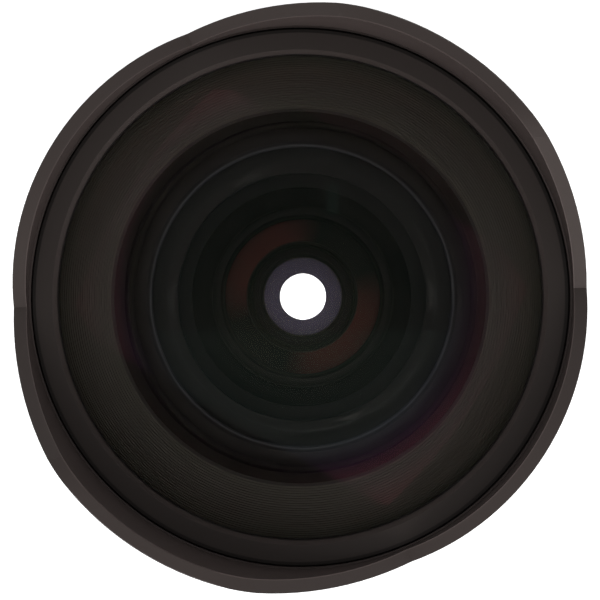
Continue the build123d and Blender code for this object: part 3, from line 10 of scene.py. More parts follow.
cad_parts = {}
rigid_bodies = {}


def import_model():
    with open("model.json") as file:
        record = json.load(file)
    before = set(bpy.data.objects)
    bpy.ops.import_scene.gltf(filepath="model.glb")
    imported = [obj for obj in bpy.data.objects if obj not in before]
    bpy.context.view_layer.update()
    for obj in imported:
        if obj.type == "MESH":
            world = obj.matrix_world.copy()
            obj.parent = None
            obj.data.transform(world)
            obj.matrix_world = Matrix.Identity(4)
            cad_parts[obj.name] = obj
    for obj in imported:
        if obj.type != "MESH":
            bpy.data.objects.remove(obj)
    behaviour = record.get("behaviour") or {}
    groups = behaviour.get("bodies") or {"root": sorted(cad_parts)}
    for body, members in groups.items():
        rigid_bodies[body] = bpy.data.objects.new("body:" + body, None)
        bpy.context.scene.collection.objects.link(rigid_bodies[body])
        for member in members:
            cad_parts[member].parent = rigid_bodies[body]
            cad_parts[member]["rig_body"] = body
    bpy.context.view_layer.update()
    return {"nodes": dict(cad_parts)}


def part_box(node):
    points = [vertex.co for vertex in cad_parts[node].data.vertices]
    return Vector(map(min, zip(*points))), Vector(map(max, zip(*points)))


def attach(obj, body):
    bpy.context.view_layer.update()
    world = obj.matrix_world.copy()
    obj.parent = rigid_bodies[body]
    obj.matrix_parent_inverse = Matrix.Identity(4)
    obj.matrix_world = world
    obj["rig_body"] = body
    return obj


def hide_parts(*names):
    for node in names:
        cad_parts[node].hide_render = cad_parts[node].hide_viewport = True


bl_info = {
    "name": "Cine Lens Dresser",
    "version": (1, 0, 0),
    "blender": (4, 5, 0),
    "location": "View3D > Sidebar > Cine Lens",
    "description": "Dresses the cine lens with finishes, glass, scales and a studio",
    "category": "Object",
}

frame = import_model()
MM = 0.001

# Where things are, from the frame
FOCUS_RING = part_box("focus_ring")
IRIS_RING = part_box("iris_ring")
INDEX_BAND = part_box("index_band")
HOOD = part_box("petal_hood")
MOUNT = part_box("bayonet_mount")
FRONT_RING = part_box("front_retaining_ring")
FRONT_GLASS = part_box("front_element")
SECOND_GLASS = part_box("second_element")
NOTCH_HEIGHT = FRONT_RING[1].z + 1.8 * MM


def linear(hex_colour):
    """Red, green and blue of an sRGB hex value, in linear light."""
    channels = [(hex_colour >> shift & 255) / 255 for shift in (16, 8, 0)]
    return [c / 12.92 if c <= 0.04045 else ((c + 0.055) / 1.055) ** 2.4 for c in channels]


def colour_property(name, description, hex_colour):
    return bpy.props.FloatVectorProperty(
        name=name,
        description=description,
        default=linear(hex_colour),
        size=3,
        min=0,
        max=1,
        subtype="COLOR",
    )


class LensColours(bpy.types.PropertyGroup):
    """Colours of the lens's finishes."""

    barrel: colour_property("Barrel", "Bead-blasted black of the barrels and rings", 0x181718)
    # The hood's lighter inside and rim are partly satin finish, partly painted light
    hood: colour_property("Hood", "Satin black inside the petal hood", 0x49403E)
    hood_rim: colour_property("Hood rim", "Satin black on the petals' cut edge", 0x38312F)
    front_ring: colour_property("Front ring", "Satin black of the ring round the glass", 0x2A2523)
    # The lip's lighter chamfer is a painted highlight
    lip: colour_property("Lip", "Rubbed chamfer of the front ring's lip", 0x342E2C)
    baffle: colour_property("Baffle", "Dull black of the ribbed baffle", 0x555049)
    cell: colour_property("Cells", "Flat black inside the lens cells", 0x1B1918)
    # Painted highlight on the second element's seat, brightest at its rim
    seat_painted_highlight: colour_property("Seat edge", "Rubbed seat of the second element", 0x3E3C3A)
    # Painted shade in the front ring's bore and in the groove next to the hood
    painted_edge_shade: colour_property("Corners", "Dark edges next to a groove", 0x0B0A09)
    retainer: colour_property("Retainers", "Matt black of the third element's rings", 0x11100F)
    retainer_face: colour_property("Retainer face", "Face of the second element's ring", 0x3B3733)
    # Painted highlight: the bright thin ring on the inner edge of the second element's retaining
    # ring
    edge_painted_highlight: colour_property("Bright edge", "Worn edge of the second element's ring", 0x626264)
    # Painted sheen: red-brown crescents on two opposite sides of the shade ring
    shade_ring: colour_property("Shade ring", "Red-brown fading of the shade ring", 0x752C2A)
    edge_paint: colour_property("Edge paint", "Matt paint on the rims of the glass", 0x544F47)
    iris: colour_property("Iris", "Violet-grey steel of the iris", 0x454150)
    screw: colour_property("Screws", "Blackened steel of the small screws", 0x1A1A1C)
    chrome: colour_property("Chrome", "Satin chrome of the bayonet mount", 0xB2B2B6)
    brass: colour_property("Brass", "Turned brass of the shim and the cam sleeve", 0xC2A25C)
    steel: colour_property("Steel", "Ground steel of the rollers and pins", 0xB4B4B8)
    white_ink: colour_property("White marks", "White paint of all marks but the feet", 0xE4E4DE)
    amber_ink: colour_property("Amber marks", "Amber paint in the foot scale", 0xE0A030)


class LensMarks(bpy.types.PropertyGroup):
    """Sizes of the painted marks and of the grip."""

    digit_size: bpy.props.FloatProperty(
        name="Digit size",
        description="Type size of the numbers on the distance scale",
        default=2.6 * MM,
        unit="LENGTH",
    )
    ink_height: bpy.props.FloatProperty(
        name="Ink height",
        description="How far the paint stands above the metal",
        default=0.03 * MM,
        unit="LENGTH",
    )
    line_width: bpy.props.FloatProperty(
        name="Line width",
        description="Width of the scale's lines",
        default=0.25 * MM,
        unit="LENGTH",
    )
    rib_count: bpy.props.IntProperty(
        name="Rib count",
        description="Number of ribs round the focus grip",
        default=126,
    )
    rib_radius: bpy.props.FloatProperty(
        name="Rib radius",
        description="Radius of each rounded rib",
        default=0.5 * MM,
        unit="LENGTH",
    )


class LensStage(bpy.types.PropertyGroup):
    """Sizes and levels of the studio round the lens."""

    camera_rise: bpy.props.FloatProperty(
        name="Camera rise",
        description="Height of the camera above the bottom of the hood's notches",
        default=0.350,
        unit="LENGTH",
    )
    camera_aside: bpy.props.FloatProperty(
        name="Camera aside",
        description="Distance of the camera from the optical axis",
        default=0.0095,
        unit="LENGTH",
    )
    camera_roll: bpy.props.FloatProperty(
        name="Camera roll",
        description="Turn of the picture's right-hand side from the lens's X axis",
        default=math.radians(32.5),
        subtype="ANGLE",
    )
    focal_length: bpy.props.FloatProperty(
        name="Focal length",
        description="Focal length in millimetres on a 36 mm wide sensor",
        default=138.5,
    )
    floor_size: bpy.props.FloatProperty(
        name="Floor size",
        description="Side of the square white floor",
        default=6.0,
        unit="LENGTH",
    )
    floor_colour: colour_property("Floor colour", "White of the floor", 0xF0F0F0)
    fill: bpy.props.FloatProperty(
        name="Fill",
        description="Level of the even light from all round",
        default=0.7,
    )
    window_power: bpy.props.FloatProperty(
        name="Window power",
        description="Power of the wide lamp on the picture's lower side",
        default=8.0,
        unit="POWER",
    )


def add_node(tree, kind, settings=None, values=None, links=None):
    """Adds one node with its settings and input values; links come from (node, output)."""
    node = tree.nodes.new(kind)
    for name, value in (settings or {}).items():
        setattr(node, name, value)
    for name, value in (values or {}).items():
        node.inputs[name].default_value = value
    for name, (source, output) in (links or {}).items():
        tree.links.new(source.outputs[output], node.inputs[name])
    return node


# Each function from here to new_material adds nodes and gives its result as (node, output)


def combined(tree, operation, *levels):
    """Levels joined into one by a math operation."""
    joined = levels[0]
    for level in levels[1:]:
        links = {0: joined, 1: level}
        joined = (add_node(tree, "ShaderNodeMath", {"operation": operation}, links=links), 0)
    return joined


def smooth_step(tree, source, span, levels):
    """Goes smoothly from one level to another while the source crosses the span."""
    step = add_node(
        tree,
        "ShaderNodeMapRange",
        {"interpolation_type": "SMOOTHSTEP"},
        {"From Min": span[0], "From Max": span[1], "To Min": levels[0], "To Max": levels[1]},
        {"Value": source},
    )
    return (step, 0)


def across_axis(tree, vector):
    """What is left of a vector when its part along the optical axis is taken away."""
    settings = {"operation": "MULTIPLY"}
    return (add_node(tree, "ShaderNodeVectorMath", settings, {1: (1, 1, 0)}, {0: vector}), 0)


def length_of(tree, vector):
    settings = {"operation": "LENGTH"}
    return (add_node(tree, "ShaderNodeVectorMath", settings, links={0: vector}), "Value")


def direction_of(tree, vector):
    settings = {"operation": "NORMALIZE"}
    return (add_node(tree, "ShaderNodeVectorMath", settings, links={0: vector}), 0)


def part_along(tree, vector, direction):
    """How far a vector reaches in a direction."""
    settings = {"operation": "DOT_PRODUCT"}
    values = {1: tuple(direction)}
    return (add_node(tree, "ShaderNodeVectorMath", settings, values, {0: vector}), "Value")


def reach_along(tree, vector, direction):
    """How far a vector reaches along a line, either way."""
    part = part_along(tree, vector, direction)
    return (add_node(tree, "ShaderNodeMath", {"operation": "ABSOLUTE"}, links={0: part}), 0)


def point_of(tree):
    """The point of the surface, in its piece's own coordinates."""
    return (add_node(tree, "ShaderNodeTexCoord"), "Object")


def distance_from_axis(tree, vector):
    return length_of(tree, across_axis(tree, vector))


def object_noise(tree, size, detail):
    """Noise with patches of this size, in metres."""
    values = {"Scale": 1 / size, "Detail": detail}
    links = {"Vector": point_of(tree)}
    return (add_node(tree, "ShaderNodeTexNoise", values=values, links=links), "Fac")


def varied_colour(tree, colour, contrast, size):
    """The colour, darker by up to contrast over patches of this size."""
    darker = [channel * (1 - contrast) for channel in colour]
    tone = add_node(
        tree,
        "ShaderNodeMix",
        {"data_type": "RGBA"},
        {6: (*darker, 1), 7: (*colour, 1)},
        {0: object_noise(tree, size, detail=3.0)},
    )
    return (tone, 2)


def by_radius(tree, stops, blend):
    """Colour that depends on the distance from the optical axis; stops are (radius, colour)."""
    reach = stops[-1][0]
    radius = distance_from_axis(tree, point_of(tree))
    share = add_node(tree, "ShaderNodeMath", {"operation": "DIVIDE"}, {1: reach}, {0: radius})
    ramp = add_node(tree, "ShaderNodeValToRGB", links={"Fac": (share, 0)})
    ramp.color_ramp.interpolation = blend
    marks = ramp.color_ramp.elements
    while len(marks) < len(stops):
        marks.new(1.0)
    for mark, (stop_radius, colour) in zip(marks, stops):
        mark.position = stop_radius / reach
        mark.color = (*colour, 1)
    return (ramp, "Color")


def bumped(tree, height, strength, depth):
    values = {"Strength": strength, "Distance": depth}
    return (add_node(tree, "ShaderNodeBump", values=values, links={"Height": height}), "Normal")


def turning_marks(tree, pitch, strength=0.4, depth=0.01 * MM):
    """Bump of uneven fine rings about the optical axis, as a lathe tool leaves them."""
    point = point_of(tree)
    height = add_node(tree, "ShaderNodeSeparateXYZ", links={"Vector": point})
    along = combined(tree, "ADD", distance_from_axis(tree, point), (height, "Z"))
    rings = add_node(
        tree,
        "ShaderNodeTexNoise",
        {"noise_dimensions": "1D"},
        {"Scale": 1 / pitch, "Detail": 1.0},
        {"W": along},
    )
    return bumped(tree, (rings, "Fac"), strength, depth)


def new_material(name):
    """An empty material, as (material, tree)."""
    material = bpy.data.materials.new(name)
    material.use_nodes = True
    material.node_tree.nodes.clear()
    return material, material.node_tree


def end_with(tree, values, links=None):
    """Ends a material's tree with one surface of these values and links."""
    shader = add_node(tree, "ShaderNodeBsdfPrincipled", values=values, links=links)
    add_node(tree, "ShaderNodeOutputMaterial", links={"Surface": (shader, "BSDF")})


# The anodised film reflects a little less green and blue than red
WARM = (1.0, 0.88, 0.84)

# Its usual levels of gloss, and the pitch of fine turning
SATIN = 0.5
DULL = 0.3
FINE_PITCH = 0.1 * MM


def end_anodised(tree, links, roughness, gloss=SATIN):
    """Ends the tree with anodised aluminium."""
    values = {
        "Roughness": roughness,
        "IOR": 1.6,
        "Specular IOR Level": gloss,
        "Specular Tint": (*WARM, 1),
    }
    end_with(tree, values, links)


def blasted_anodise(name, colour):
    """Aluminium, bead-blasted and black anodised: soft sheen, fine even grain, no direction."""
    material, tree = new_material(name)
    # Real blasting leaves dimples of 0.06 mm; they are drawn twice as wide so that they show
    grain = object_noise(tree, size=0.12 * MM, detail=2.0)
    links = {
        "Base Color": varied_colour(tree, colour, contrast=0.2, size=5 * MM),
        "Normal": bumped(tree, grain, strength=0.5, depth=0.012 * MM),
    }
    end_anodised(tree, links, roughness=0.45, gloss=DULL)
    return material


# The hood's wall, and a margin that tells its two faces from the edge between them
HOOD_WALL = 2.0 * MM
FACE_MARGIN = 0.05 * MM


def hood_anodise(name, inner_colour, rim_colour, outer_colour):
    """Turned and black anodised hood: satin inside, a little darker on its rim, dull and as
    dark as the barrels outside. The lighter inside and rim are partly the satin finish and partly
    painted light."""
    material, tree = new_material(name)
    outside = add_node(
        tree,
        "ShaderNodeMath",
        {"operation": "GREATER_THAN"},
        {1: HOOD[1].x - FACE_MARGIN},
        {0: distance_from_axis(tree, point_of(tree))},
    )
    rim_radius = HOOD[1].x - HOOD_WALL + FACE_MARGIN
    bands = ((0.0, inner_colour), (rim_radius, rim_colour), (HOOD[1].x, rim_colour))
    tone = add_node(
        tree,
        "ShaderNodeMix",
        {"data_type": "RGBA"},
        {7: (*outer_colour, 1)},
        {0: (outside, 0), 6: by_radius(tree, bands, "CONSTANT")},
    )
    links = {
        "Base Color": (tone, 2),
        "Normal": turning_marks(tree, FINE_PITCH),
        "Specular IOR Level": smooth_step(tree, (outside, 0), (0.0, 1.0), (SATIN, DULL)),
    }
    end_anodised(tree, links, roughness=0.4)
    return material


def turned_anodise(name, colour, roughness, pitch):
    """Aluminium, turned and black anodised: the tool's fine rings stay in the surface."""
    material, tree = new_material(name)
    tone = varied_colour(tree, colour, contrast=0.15, size=4 * MM)
    links = {"Base Color": tone, "Normal": turning_marks(tree, pitch)}
    end_anodised(tree, links, roughness)
    return material


def banded_anodise(name, bands, blend, roughness, gloss):
    """Turned black anodise whose shade changes with the radius: a painted highlight on an edge,
    painted shade in a groove. bands are (radius, colour)."""
    material, tree = new_material(name)
    tone = by_radius(tree, bands, blend)
    links = {"Base Color": tone, "Normal": turning_marks(tree, FINE_PITCH)}
    end_anodised(tree, links, roughness, gloss)
    return material


# Where the painted sheen starts and is full, as the cosine of the angle from its side
SHEEN_EDGE = (0.4, 0.95)


def sheen_painted_ring(name, colour, sheen_colour, direction):
    """Matt black anodise with a painted sheen of another colour on two opposite sides, as light
    catches a turned ring.
    """
    material, tree = new_material(name)
    outward = direction_of(tree, across_axis(tree, point_of(tree)))
    side = reach_along(tree, outward, direction)
    tone = add_node(
        tree,
        "ShaderNodeMix",
        {"data_type": "RGBA"},
        {6: (*colour, 1), 7: (*sheen_colour, 1)},
        {0: smooth_step(tree, side, SHEEN_EDGE, (0.0, 1.0))},
    )
    end_with(tree, {"Roughness": 0.6, "Specular IOR Level": 0.2}, {"Base Color": (tone, 2)})
    return material


def bare_metal(name, colour, roughness, pitch):
    """Bare or plated metal with the fine rings of turning in its gloss."""
    material, tree = new_material(name)
    links = {
        "Base Color": varied_colour(tree, colour, contrast=0.08, size=3 * MM),
        "Normal": turning_marks(tree, pitch, strength=0.3, depth=0.006 * MM),
    }
    end_with(tree, {"Metallic": 1.0, "Roughness": roughness}, links)
    return material


def engraving_paint(name, colour):
    """Enamel wiped into the scale: flat, even, slightly satin."""
    material, tree = new_material(name)
    tone = varied_colour(tree, colour, contrast=0.08, size=0.8 * MM)
    end_with(tree, {"Roughness": 0.5, "IOR": 1.5}, {"Base Color": tone})
    return material


def edge_paint(name, colour):
    """Matt paint on the ground rim of a lens element, which stops stray light."""
    material, tree = new_material(name)
    tone = varied_colour(tree, colour, contrast=0.3, size=0.6 * MM)
    end_with(tree, {"Roughness": 0.8, "Specular IOR Level": 0.1}, {"Base Color": tone})
    return material


POLISHED_GLASS = {"Base Color": (1, 1, 1, 1), "Roughness": 0.0, "Transmission Weight": 1.0}


def clear_glass(name, ior, tint):
    """Polished optical glass; tint dims and colours its reflection, as a coating does."""
    material, tree = new_material(name)
    end_with(tree, {**POLISHED_GLASS, "IOR": ior, "Specular Tint": (*tint, 1)})
    return material


def coated_glass(name, ior, tints):
    """Glass under a many-layered coating, deposited from the front and so thinner where the
    dome slopes: the colour of its faint reflection changes with the radius."""
    material, tree = new_material(name)
    links = {"Specular Tint": by_radius(tree, tints, "LINEAR")}
    end_with(tree, {**POLISHED_GLASS, "IOR": ior}, links)
    return material


GREEN = (0.03, 0.032, 0.025)
VIOLET = (0.04, 0.03, 0.05)
AMBER = (0.06, 0.04, 0.02)
WARM_GREY = (0.06, 0.05, 0.03)

# Each element's index of refraction and the tint of its coating's faint reflection
ELEMENTS = {
    "front_element": (1.70, WARM_GREY),
    "second_element": (1.60, GREEN),
    "third_element": (1.50, GREEN),
    "fourth_element": (1.72, VIOLET),
    "fifth_element": (1.60, VIOLET),
    "sixth_element": (1.55, AMBER),
    "seventh_element": (1.60, VIOLET),
    "eighth_element": (1.70, VIOLET),
    "ninth_element": (1.55, GREEN),
    "tenth_element": (1.50, GREEN),
}

# Front coatings whose tint changes with the radius: from teal over violet and magenta to red
# on the dome, and brighter at the edge of the second element
COATINGS = {
    "front_element": (
        (0.0, (0.3, 0.55, 0.41)),
        (21.0 * MM, (0.28, 0.45, 0.4)),
        (23.2 * MM, (0.28, 0.32, 0.4)),
        (24.6 * MM, (0.16, 0.12, 0.26)),
        (26.3 * MM, (0.35, 0.12, 0.3)),
        (27.7 * MM, (0.6, 0.12, 0.26)),
        (29.3 * MM, (0.15, 0.08, 0.12)),
        (33.2 * MM, (0.45, 0.05, 0.1)),
        (37.5 * MM, (1.0, 0.1, 0.18)),
    ),
    "second_element": (
        (0.0, GREEN),
        (21.5 * MM, GREEN),
        (25.5 * MM, (0.55, 0.58, 0.6)),
    ),
}

# A lens element's faces, by the place of their material
FRONT_FACE, BACK_FACE, RIM = range(3)
RIM_SLOPE = 0.5


def give(material, *nodes):
    """Puts a material in every slot of these CAD nodes."""
    for name in nodes:
        for slot in frame["nodes"][name].material_slots:
            slot.material = material


def shown(name, mesh, body):
    """Links a mesh as a piece that rides on a body."""
    piece = bpy.data.objects.new(name, mesh)
    bpy.context.scene.collection.objects.link(piece)
    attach(piece, body)
    return piece


def glass_piece(name, front, back, paint):
    """Lens element with a coating on each face and paint on its rim, in its CAD node's place."""
    node = frame["nodes"][name]
    mesh = node.data.copy()
    mesh.materials.clear()
    for material in (front, back, paint):
        mesh.materials.append(material)
    for polygon in mesh.polygons:
        if abs(polygon.normal.z) < RIM_SLOPE:
            polygon.material_index = RIM
        elif polygon.normal.z < 0:
            polygon.material_index = BACK_FACE
        else:
            polygon.material_index = FRONT_FACE
    piece = shown(name + "_glass", mesh, node["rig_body"])
    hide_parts(name)


# The inputs of the node tree that sets the ribs
RING_INPUTS = {
    "Count": "NodeSocketInt",
    "Ring Radius": "NodeSocketFloat",
    "Low": "NodeSocketFloat",
    "Rod Radius": "NodeSocketFloat",
    "Rod Length": "NodeSocketFloat",
    "Material": "NodeSocketMaterial",
}
ROD_SIDES = 12


def around_ring_tree():
    """Node tree that sets rods evenly round the optical axis, from its named inputs."""
    tree = bpy.data.node_groups.new("around_ring", "GeometryNodeTree")
    sockets = {
        name: tree.interface.new_socket(name, in_out="INPUT", socket_type=kind)
        for name, kind in RING_INPUTS.items()
    }
    tree.interface.new_socket("Geometry", in_out="OUTPUT", socket_type="NodeSocketGeometry")
    inputs = add_node(tree, "NodeGroupInput")

    # Where each rod goes
    index = add_node(tree, "GeometryNodeInputIndex")
    share = add_node(
        tree,
        "ShaderNodeMath",
        {"operation": "DIVIDE"},
        links={0: (index, 0), 1: (inputs, "Count")},
    )
    turn = add_node(
        tree, "ShaderNodeMath", {"operation": "MULTIPLY"}, {1: math.tau}, {0: (share, 0)}
    )
    cosine = add_node(tree, "ShaderNodeMath", {"operation": "COSINE"}, links={0: (turn, 0)})
    sine = add_node(tree, "ShaderNodeMath", {"operation": "SINE"}, links={0: (turn, 0)})
    outward = add_node(tree, "ShaderNodeCombineXYZ", links={"X": (cosine, 0), "Y": (sine, 0)})
    on_circle = add_node(
        tree,
        "ShaderNodeVectorMath",
        {"operation": "SCALE"},
        links={0: (outward, 0), "Scale": (inputs, "Ring Radius")},
    )
    middle = add_node(
        tree,
        "ShaderNodeMath",
        {"operation": "MULTIPLY_ADD"},
        {1: 0.5},
        {0: (inputs, "Rod Length"), 2: (inputs, "Low")},
    )
    lift = add_node(tree, "ShaderNodeCombineXYZ", links={"Z": (middle, 0)})
    place = add_node(
        tree,
        "ShaderNodeVectorMath",
        {"operation": "ADD"},
        links={0: (on_circle, 0), 1: (lift, 0)},
    )

    # One rod for each point
    line = add_node(tree, "GeometryNodeMeshLine", links={"Count": (inputs, "Count")})
    points = add_node(
        tree,
        "GeometryNodeSetPosition",
        links={"Geometry": (line, "Mesh"), "Position": (place, 0)},
    )
    rod = add_node(
        tree,
        "GeometryNodeMeshCylinder",
        {"fill_type": "NGON"},
        {"Vertices": ROD_SIDES},
        {"Radius": (inputs, "Rod Radius"), "Depth": (inputs, "Rod Length")},
    )
    rotation = add_node(tree, "ShaderNodeCombineXYZ", links={"Z": (turn, 0)})
    copies = add_node(
        tree,
        "GeometryNodeInstanceOnPoints",
        links={
            "Points": (points, "Geometry"),
            "Instance": (rod, "Mesh"),
            "Rotation": (rotation, 0),
        },
    )
    real = add_node(tree, "GeometryNodeRealizeInstances", links={"Geometry": (copies, 0)})
    finished = add_node(
        tree,
        "GeometryNodeSetMaterial",
        links={"Geometry": (real, 0), "Material": (inputs, "Material")},
    )
    add_node(tree, "NodeGroupOutput", links={"Geometry": (finished, 0)})
    return tree, sockets


def made_by_nodes(name, tree, sockets, values):
    """Plain mesh that a node tree makes from these input values."""
    holder = bpy.data.objects.new(name, bpy.data.meshes.new(name))
    bpy.context.scene.collection.objects.link(holder)
    modifier = holder.modifiers.new("nodes", "NODES")
    modifier.node_group = tree
    for input_name, value in values.items():
        modifier[sockets[input_name].identifier] = value
    graph = bpy.context.evaluated_depsgraph_get()
    mesh = bpy.data.meshes.new_from_object(holder.evaluated_get(graph))
    mesh.name = name
    holder.modifiers.remove(modifier)
    bpy.data.objects.remove(holder)
    return mesh


# The scales start at the index lines, one on each side of the lens
INDEX_ANGLES = (math.radians(-90), math.radians(90))
FOCUS_TRAVEL = math.radians(110)
IRIS_TRAVEL = math.radians(50)
METRES = (5, 3, 2, 1.5, 1, 0.8, 0.6, 0.5, 0.4, 0.35, 0.3, 0.28)
FEET = (10, 6, 4, 3, 2.5, 2, 1.7, 1.5, 1.3, 1.1, 1)
NEAREST_METRES = 0.28
METRES_PER_FOOT = 0.3048
STOPS = (3.1, 4, 5.6, 8, 11)

# The bands that carry marks: radius, lower end and the body that each belongs to
DISTANCE_BAND = (39.6 * MM, FOCUS_RING[0].z, "focus_ring")
IRIS_BAND = (37.2 * MM, IRIS_RING[0].z, "iris_ring")
FIXED_BAND = (INDEX_BAND[1].x, INDEX_BAND[0].z, "root")

# How far each row of marks is above the lower end of its band, how long its lines are, and the
# size of the stop numbers as a share of the distance scale's
METRE_RISE = 2.6 * MM
FOOT_RISE = 6.9 * MM
STOP_RISE = 0.8 * MM
DISTANCE_TICK_RISE = 0.7 * MM
STOP_TICK_RISE = 3.4 * MM
INDEX_RISE = 0.6 * MM
TICK = 1.2 * MM
INDEX_LENGTH = INDEX_BAND[1].z - INDEX_BAND[0].z - 2 * INDEX_RISE
STOP_DIGIT_SHARE = 0.9

# Points of a letter nearer than this become one
MERGE_DISTANCE = 0.001 * MM

# The iris: its open radius, each blade's inner edge, the pivots' circle and a blade's full swing
OPEN_RADIUS = 6.8 * MM
BLADE_EDGE_RADIUS = 7.25 * MM
PIVOT_CIRCLE_RADIUS = 11.7 * MM
BLADE_SWING = math.radians(26)


def distance_turn(metres):
    """Turn of the focus ring from infinity to this distance."""
    return FOCUS_TRAVEL * NEAREST_METRES / metres


def blade_turn(opening):
    """Turn of a blade about its pivot that leaves this radius open."""
    return 2 * math.asin((BLADE_EDGE_RADIUS - opening) / (2 * PIVOT_CIRCLE_RADIUS))


def stop_turn(stop):
    """Turn of the iris ring from fully open to this stop."""
    swing = blade_turn(OPEN_RADIUS * STOPS[0] / stop) - blade_turn(OPEN_RADIUS)
    return IRIS_TRAVEL * swing / BLADE_SWING


def on_both_sides(words):
    """The words, each as (word, angle), at its ring's turn from both index lines."""
    return [(word, side - turn) for side in INDEX_ANGLES for word, turn in words]


def word_mesh(word, size, thickness):
    """Thin solid letters of one word, centred left to right, standing on the X axis."""
    curve = bpy.data.curves.new("word", "FONT")
    curve.body = word
    curve.size = size
    curve.align_x = "CENTER"
    curve.extrude = thickness / 2
    curve.resolution_u = 4
    holder = bpy.data.objects.new("word", curve)
    bpy.context.scene.collection.objects.link(holder)
    graph = bpy.context.evaluated_depsgraph_get()
    mesh = bpy.data.meshes.new_from_object(holder.evaluated_get(graph))
    bpy.data.objects.remove(holder)
    bpy.data.curves.remove(curve)
    return mesh


def bent_round(mesh, radius, angle, height):
    """Wraps a flat mesh round the optical axis, with its middle at this angle."""
    for vertex in mesh.vertices:
        turn = angle + vertex.co.x / radius
        reach = radius + vertex.co.z
        vertex.co = (reach * math.cos(turn), reach * math.sin(turn), height + vertex.co.y)


def paint_piece(name, shape, body, paint):
    """Makes a piece from a shape of solid marks."""
    mesh = bpy.data.meshes.new(name)
    shape.to_mesh(mesh)
    shape.free()
    mesh.materials.append(paint)
    piece = shown(name, mesh, body)


def numbers(name, words, size, band, rise, paint):
    """One piece that holds painted words round a band; words are (word, angle)."""
    radius, low, body = band
    ink_height = bpy.context.scene.lens_marks.ink_height
    shape = bmesh.new()
    for word, angle in words:
        letters = word_mesh(word, size, 2 * ink_height)
        bent_round(letters, radius, angle, low + rise)
        shape.from_mesh(letters)
        bpy.data.meshes.remove(letters)
    bmesh.ops.remove_doubles(shape, verts=shape.verts, dist=MERGE_DISTANCE)
    paint_piece(name, shape, body, paint)


def lines(name, angles, width, length, band, rise, paint):
    """One piece that holds painted upright lines round a band."""
    radius, low, body = band
    ink_height = bpy.context.scene.lens_marks.ink_height
    middle = Matrix.Translation((radius, 0, low + rise + length / 2))
    size = Matrix.Diagonal((2 * ink_height, width, length, 1))
    shape = bmesh.new()
    for angle in angles:
        turn = Matrix.Rotation(angle, 4, "Z") @ middle
        bmesh.ops.create_cube(shape, size=1, matrix=turn @ size)
    paint_piece(name, shape, body, paint)


# The floor's area under the bore, which alone shows white through the glass, and its glow there
BORE_EDGE = (50 * MM, 60 * MM)
BORE_GLOW = 1.6
FLOOR_GLOW = 0.6
FLOOR_GAP = 0.1 * MM


def floor_material(colour):
    """Matt white board; it looks near white to the camera and keeps a soft shadow. Through the
    glass it glows under the bore and is dark elsewhere, so that no element mirrors it."""
    material, tree = new_material("white_floor")
    path = add_node(tree, "ShaderNodeLightPath")
    through = (path, "Is Transmission Ray")
    seen = combined(tree, "MAXIMUM", (path, "Is Camera Ray"), (path, "Is Glossy Ray"))
    radius = length_of(tree, point_of(tree))
    under_bore = smooth_step(tree, radius, BORE_EDGE, (BORE_GLOW, 0.0))
    beside_bore = smooth_step(tree, radius, BORE_EDGE, (0.0, 1.0))
    glow = add_node(
        tree,
        "ShaderNodeMath",
        {"operation": "MULTIPLY_ADD"},
        {1: FLOOR_GLOW},
        {0: seen, 2: combined(tree, "MULTIPLY", through, under_bore)},
    )
    tone = add_node(
        tree,
        "ShaderNodeMix",
        {"data_type": "RGBA"},
        {6: (*colour, 1), 7: (0, 0, 0, 1)},
        {0: combined(tree, "MULTIPLY", through, beside_bore)},
    )
    end_with(
        tree,
        {"Roughness": 0.6, "Specular IOR Level": 0.0, "Emission Color": (1, 1, 1, 1)},
        {"Base Color": (tone, 2), "Emission Strength": (glow, 0)},
    )
    return material


def make_floor(settings):
    """White floor just under the mount."""
    mesh = bpy.data.meshes.new("floor")
    shape = bmesh.new()
    bmesh.ops.create_grid(shape, x_segments=1, y_segments=1, size=settings.floor_size / 2)
    bmesh.ops.translate(shape, verts=shape.verts, vec=(0, 0, MOUNT[0].z - FLOOR_GAP))
    shape.to_mesh(mesh)
    shape.free()
    floor = bpy.data.objects.new("floor", mesh)
    bpy.context.scene.collection.objects.link(floor)
    mesh.materials.append(floor_material(settings.floor_colour))


def picture_axes(settings):
    """The picture's right and up directions, in the plane of the lens's front."""
    right = Vector((math.cos(settings.camera_roll), math.sin(settings.camera_roll), 0))
    return right, Vector((-right.y, right.x, 0))


# The room that shiny surfaces show. Its parts are placed by the vector half-way between a
# direction and the zenith: by its lean from the zenith or its reach across the picture.
CEILING_MIDDLE = (0.085, 0.095)
CEILING_LEVELS = (0.15, 0.33)
CEILING_END = (0.39, 0.43)
CEILING_END_LEVEL = 0.3
WALL_EDGE = (0.42, 0.46)
WALL_LEVELS = (0.45, 1.0)
LOW_WALLS = (0.62, 0.72)
LOW_WALL_LEVEL = 0.4
WINDOW_ANGLE = math.radians(-60)
WINDOW_RISE = 0.13
WINDOW_EDGE = (0.34, 0.5)
PANEL_ACROSS = (0.055, 0.098)
PANEL_DOWN = (-0.302, -0.209)
PANEL_LEVEL = 0.3
PANEL_EDGE = 0.012
PETAL_ANGLE = math.radians(60)
PETAL_EDGE = (0.365, 0.385)
PETAL_LEVEL = 0.15
GLASS_SHARE = 0.4

# The room that the glass's inner faces show, by a direction's height and its part up the picture
INNER_HEIGHT = (0.25, 0.95)
INNER_UPPER = (-0.6, 0.6)
INNER_UPPER_LEVEL = 0.4


def strip(tree, source, span, level):
    """The level inside the span and 0 outside it, with soft edges."""
    low, high = span
    rise = smooth_step(tree, source, (low, low + PANEL_EDGE), (0.0, level))
    fall = smooth_step(tree, source, (high - PANEL_EDGE, high), (1.0, 0.0))
    return combined(tree, "MULTIPLY", rise, fall)


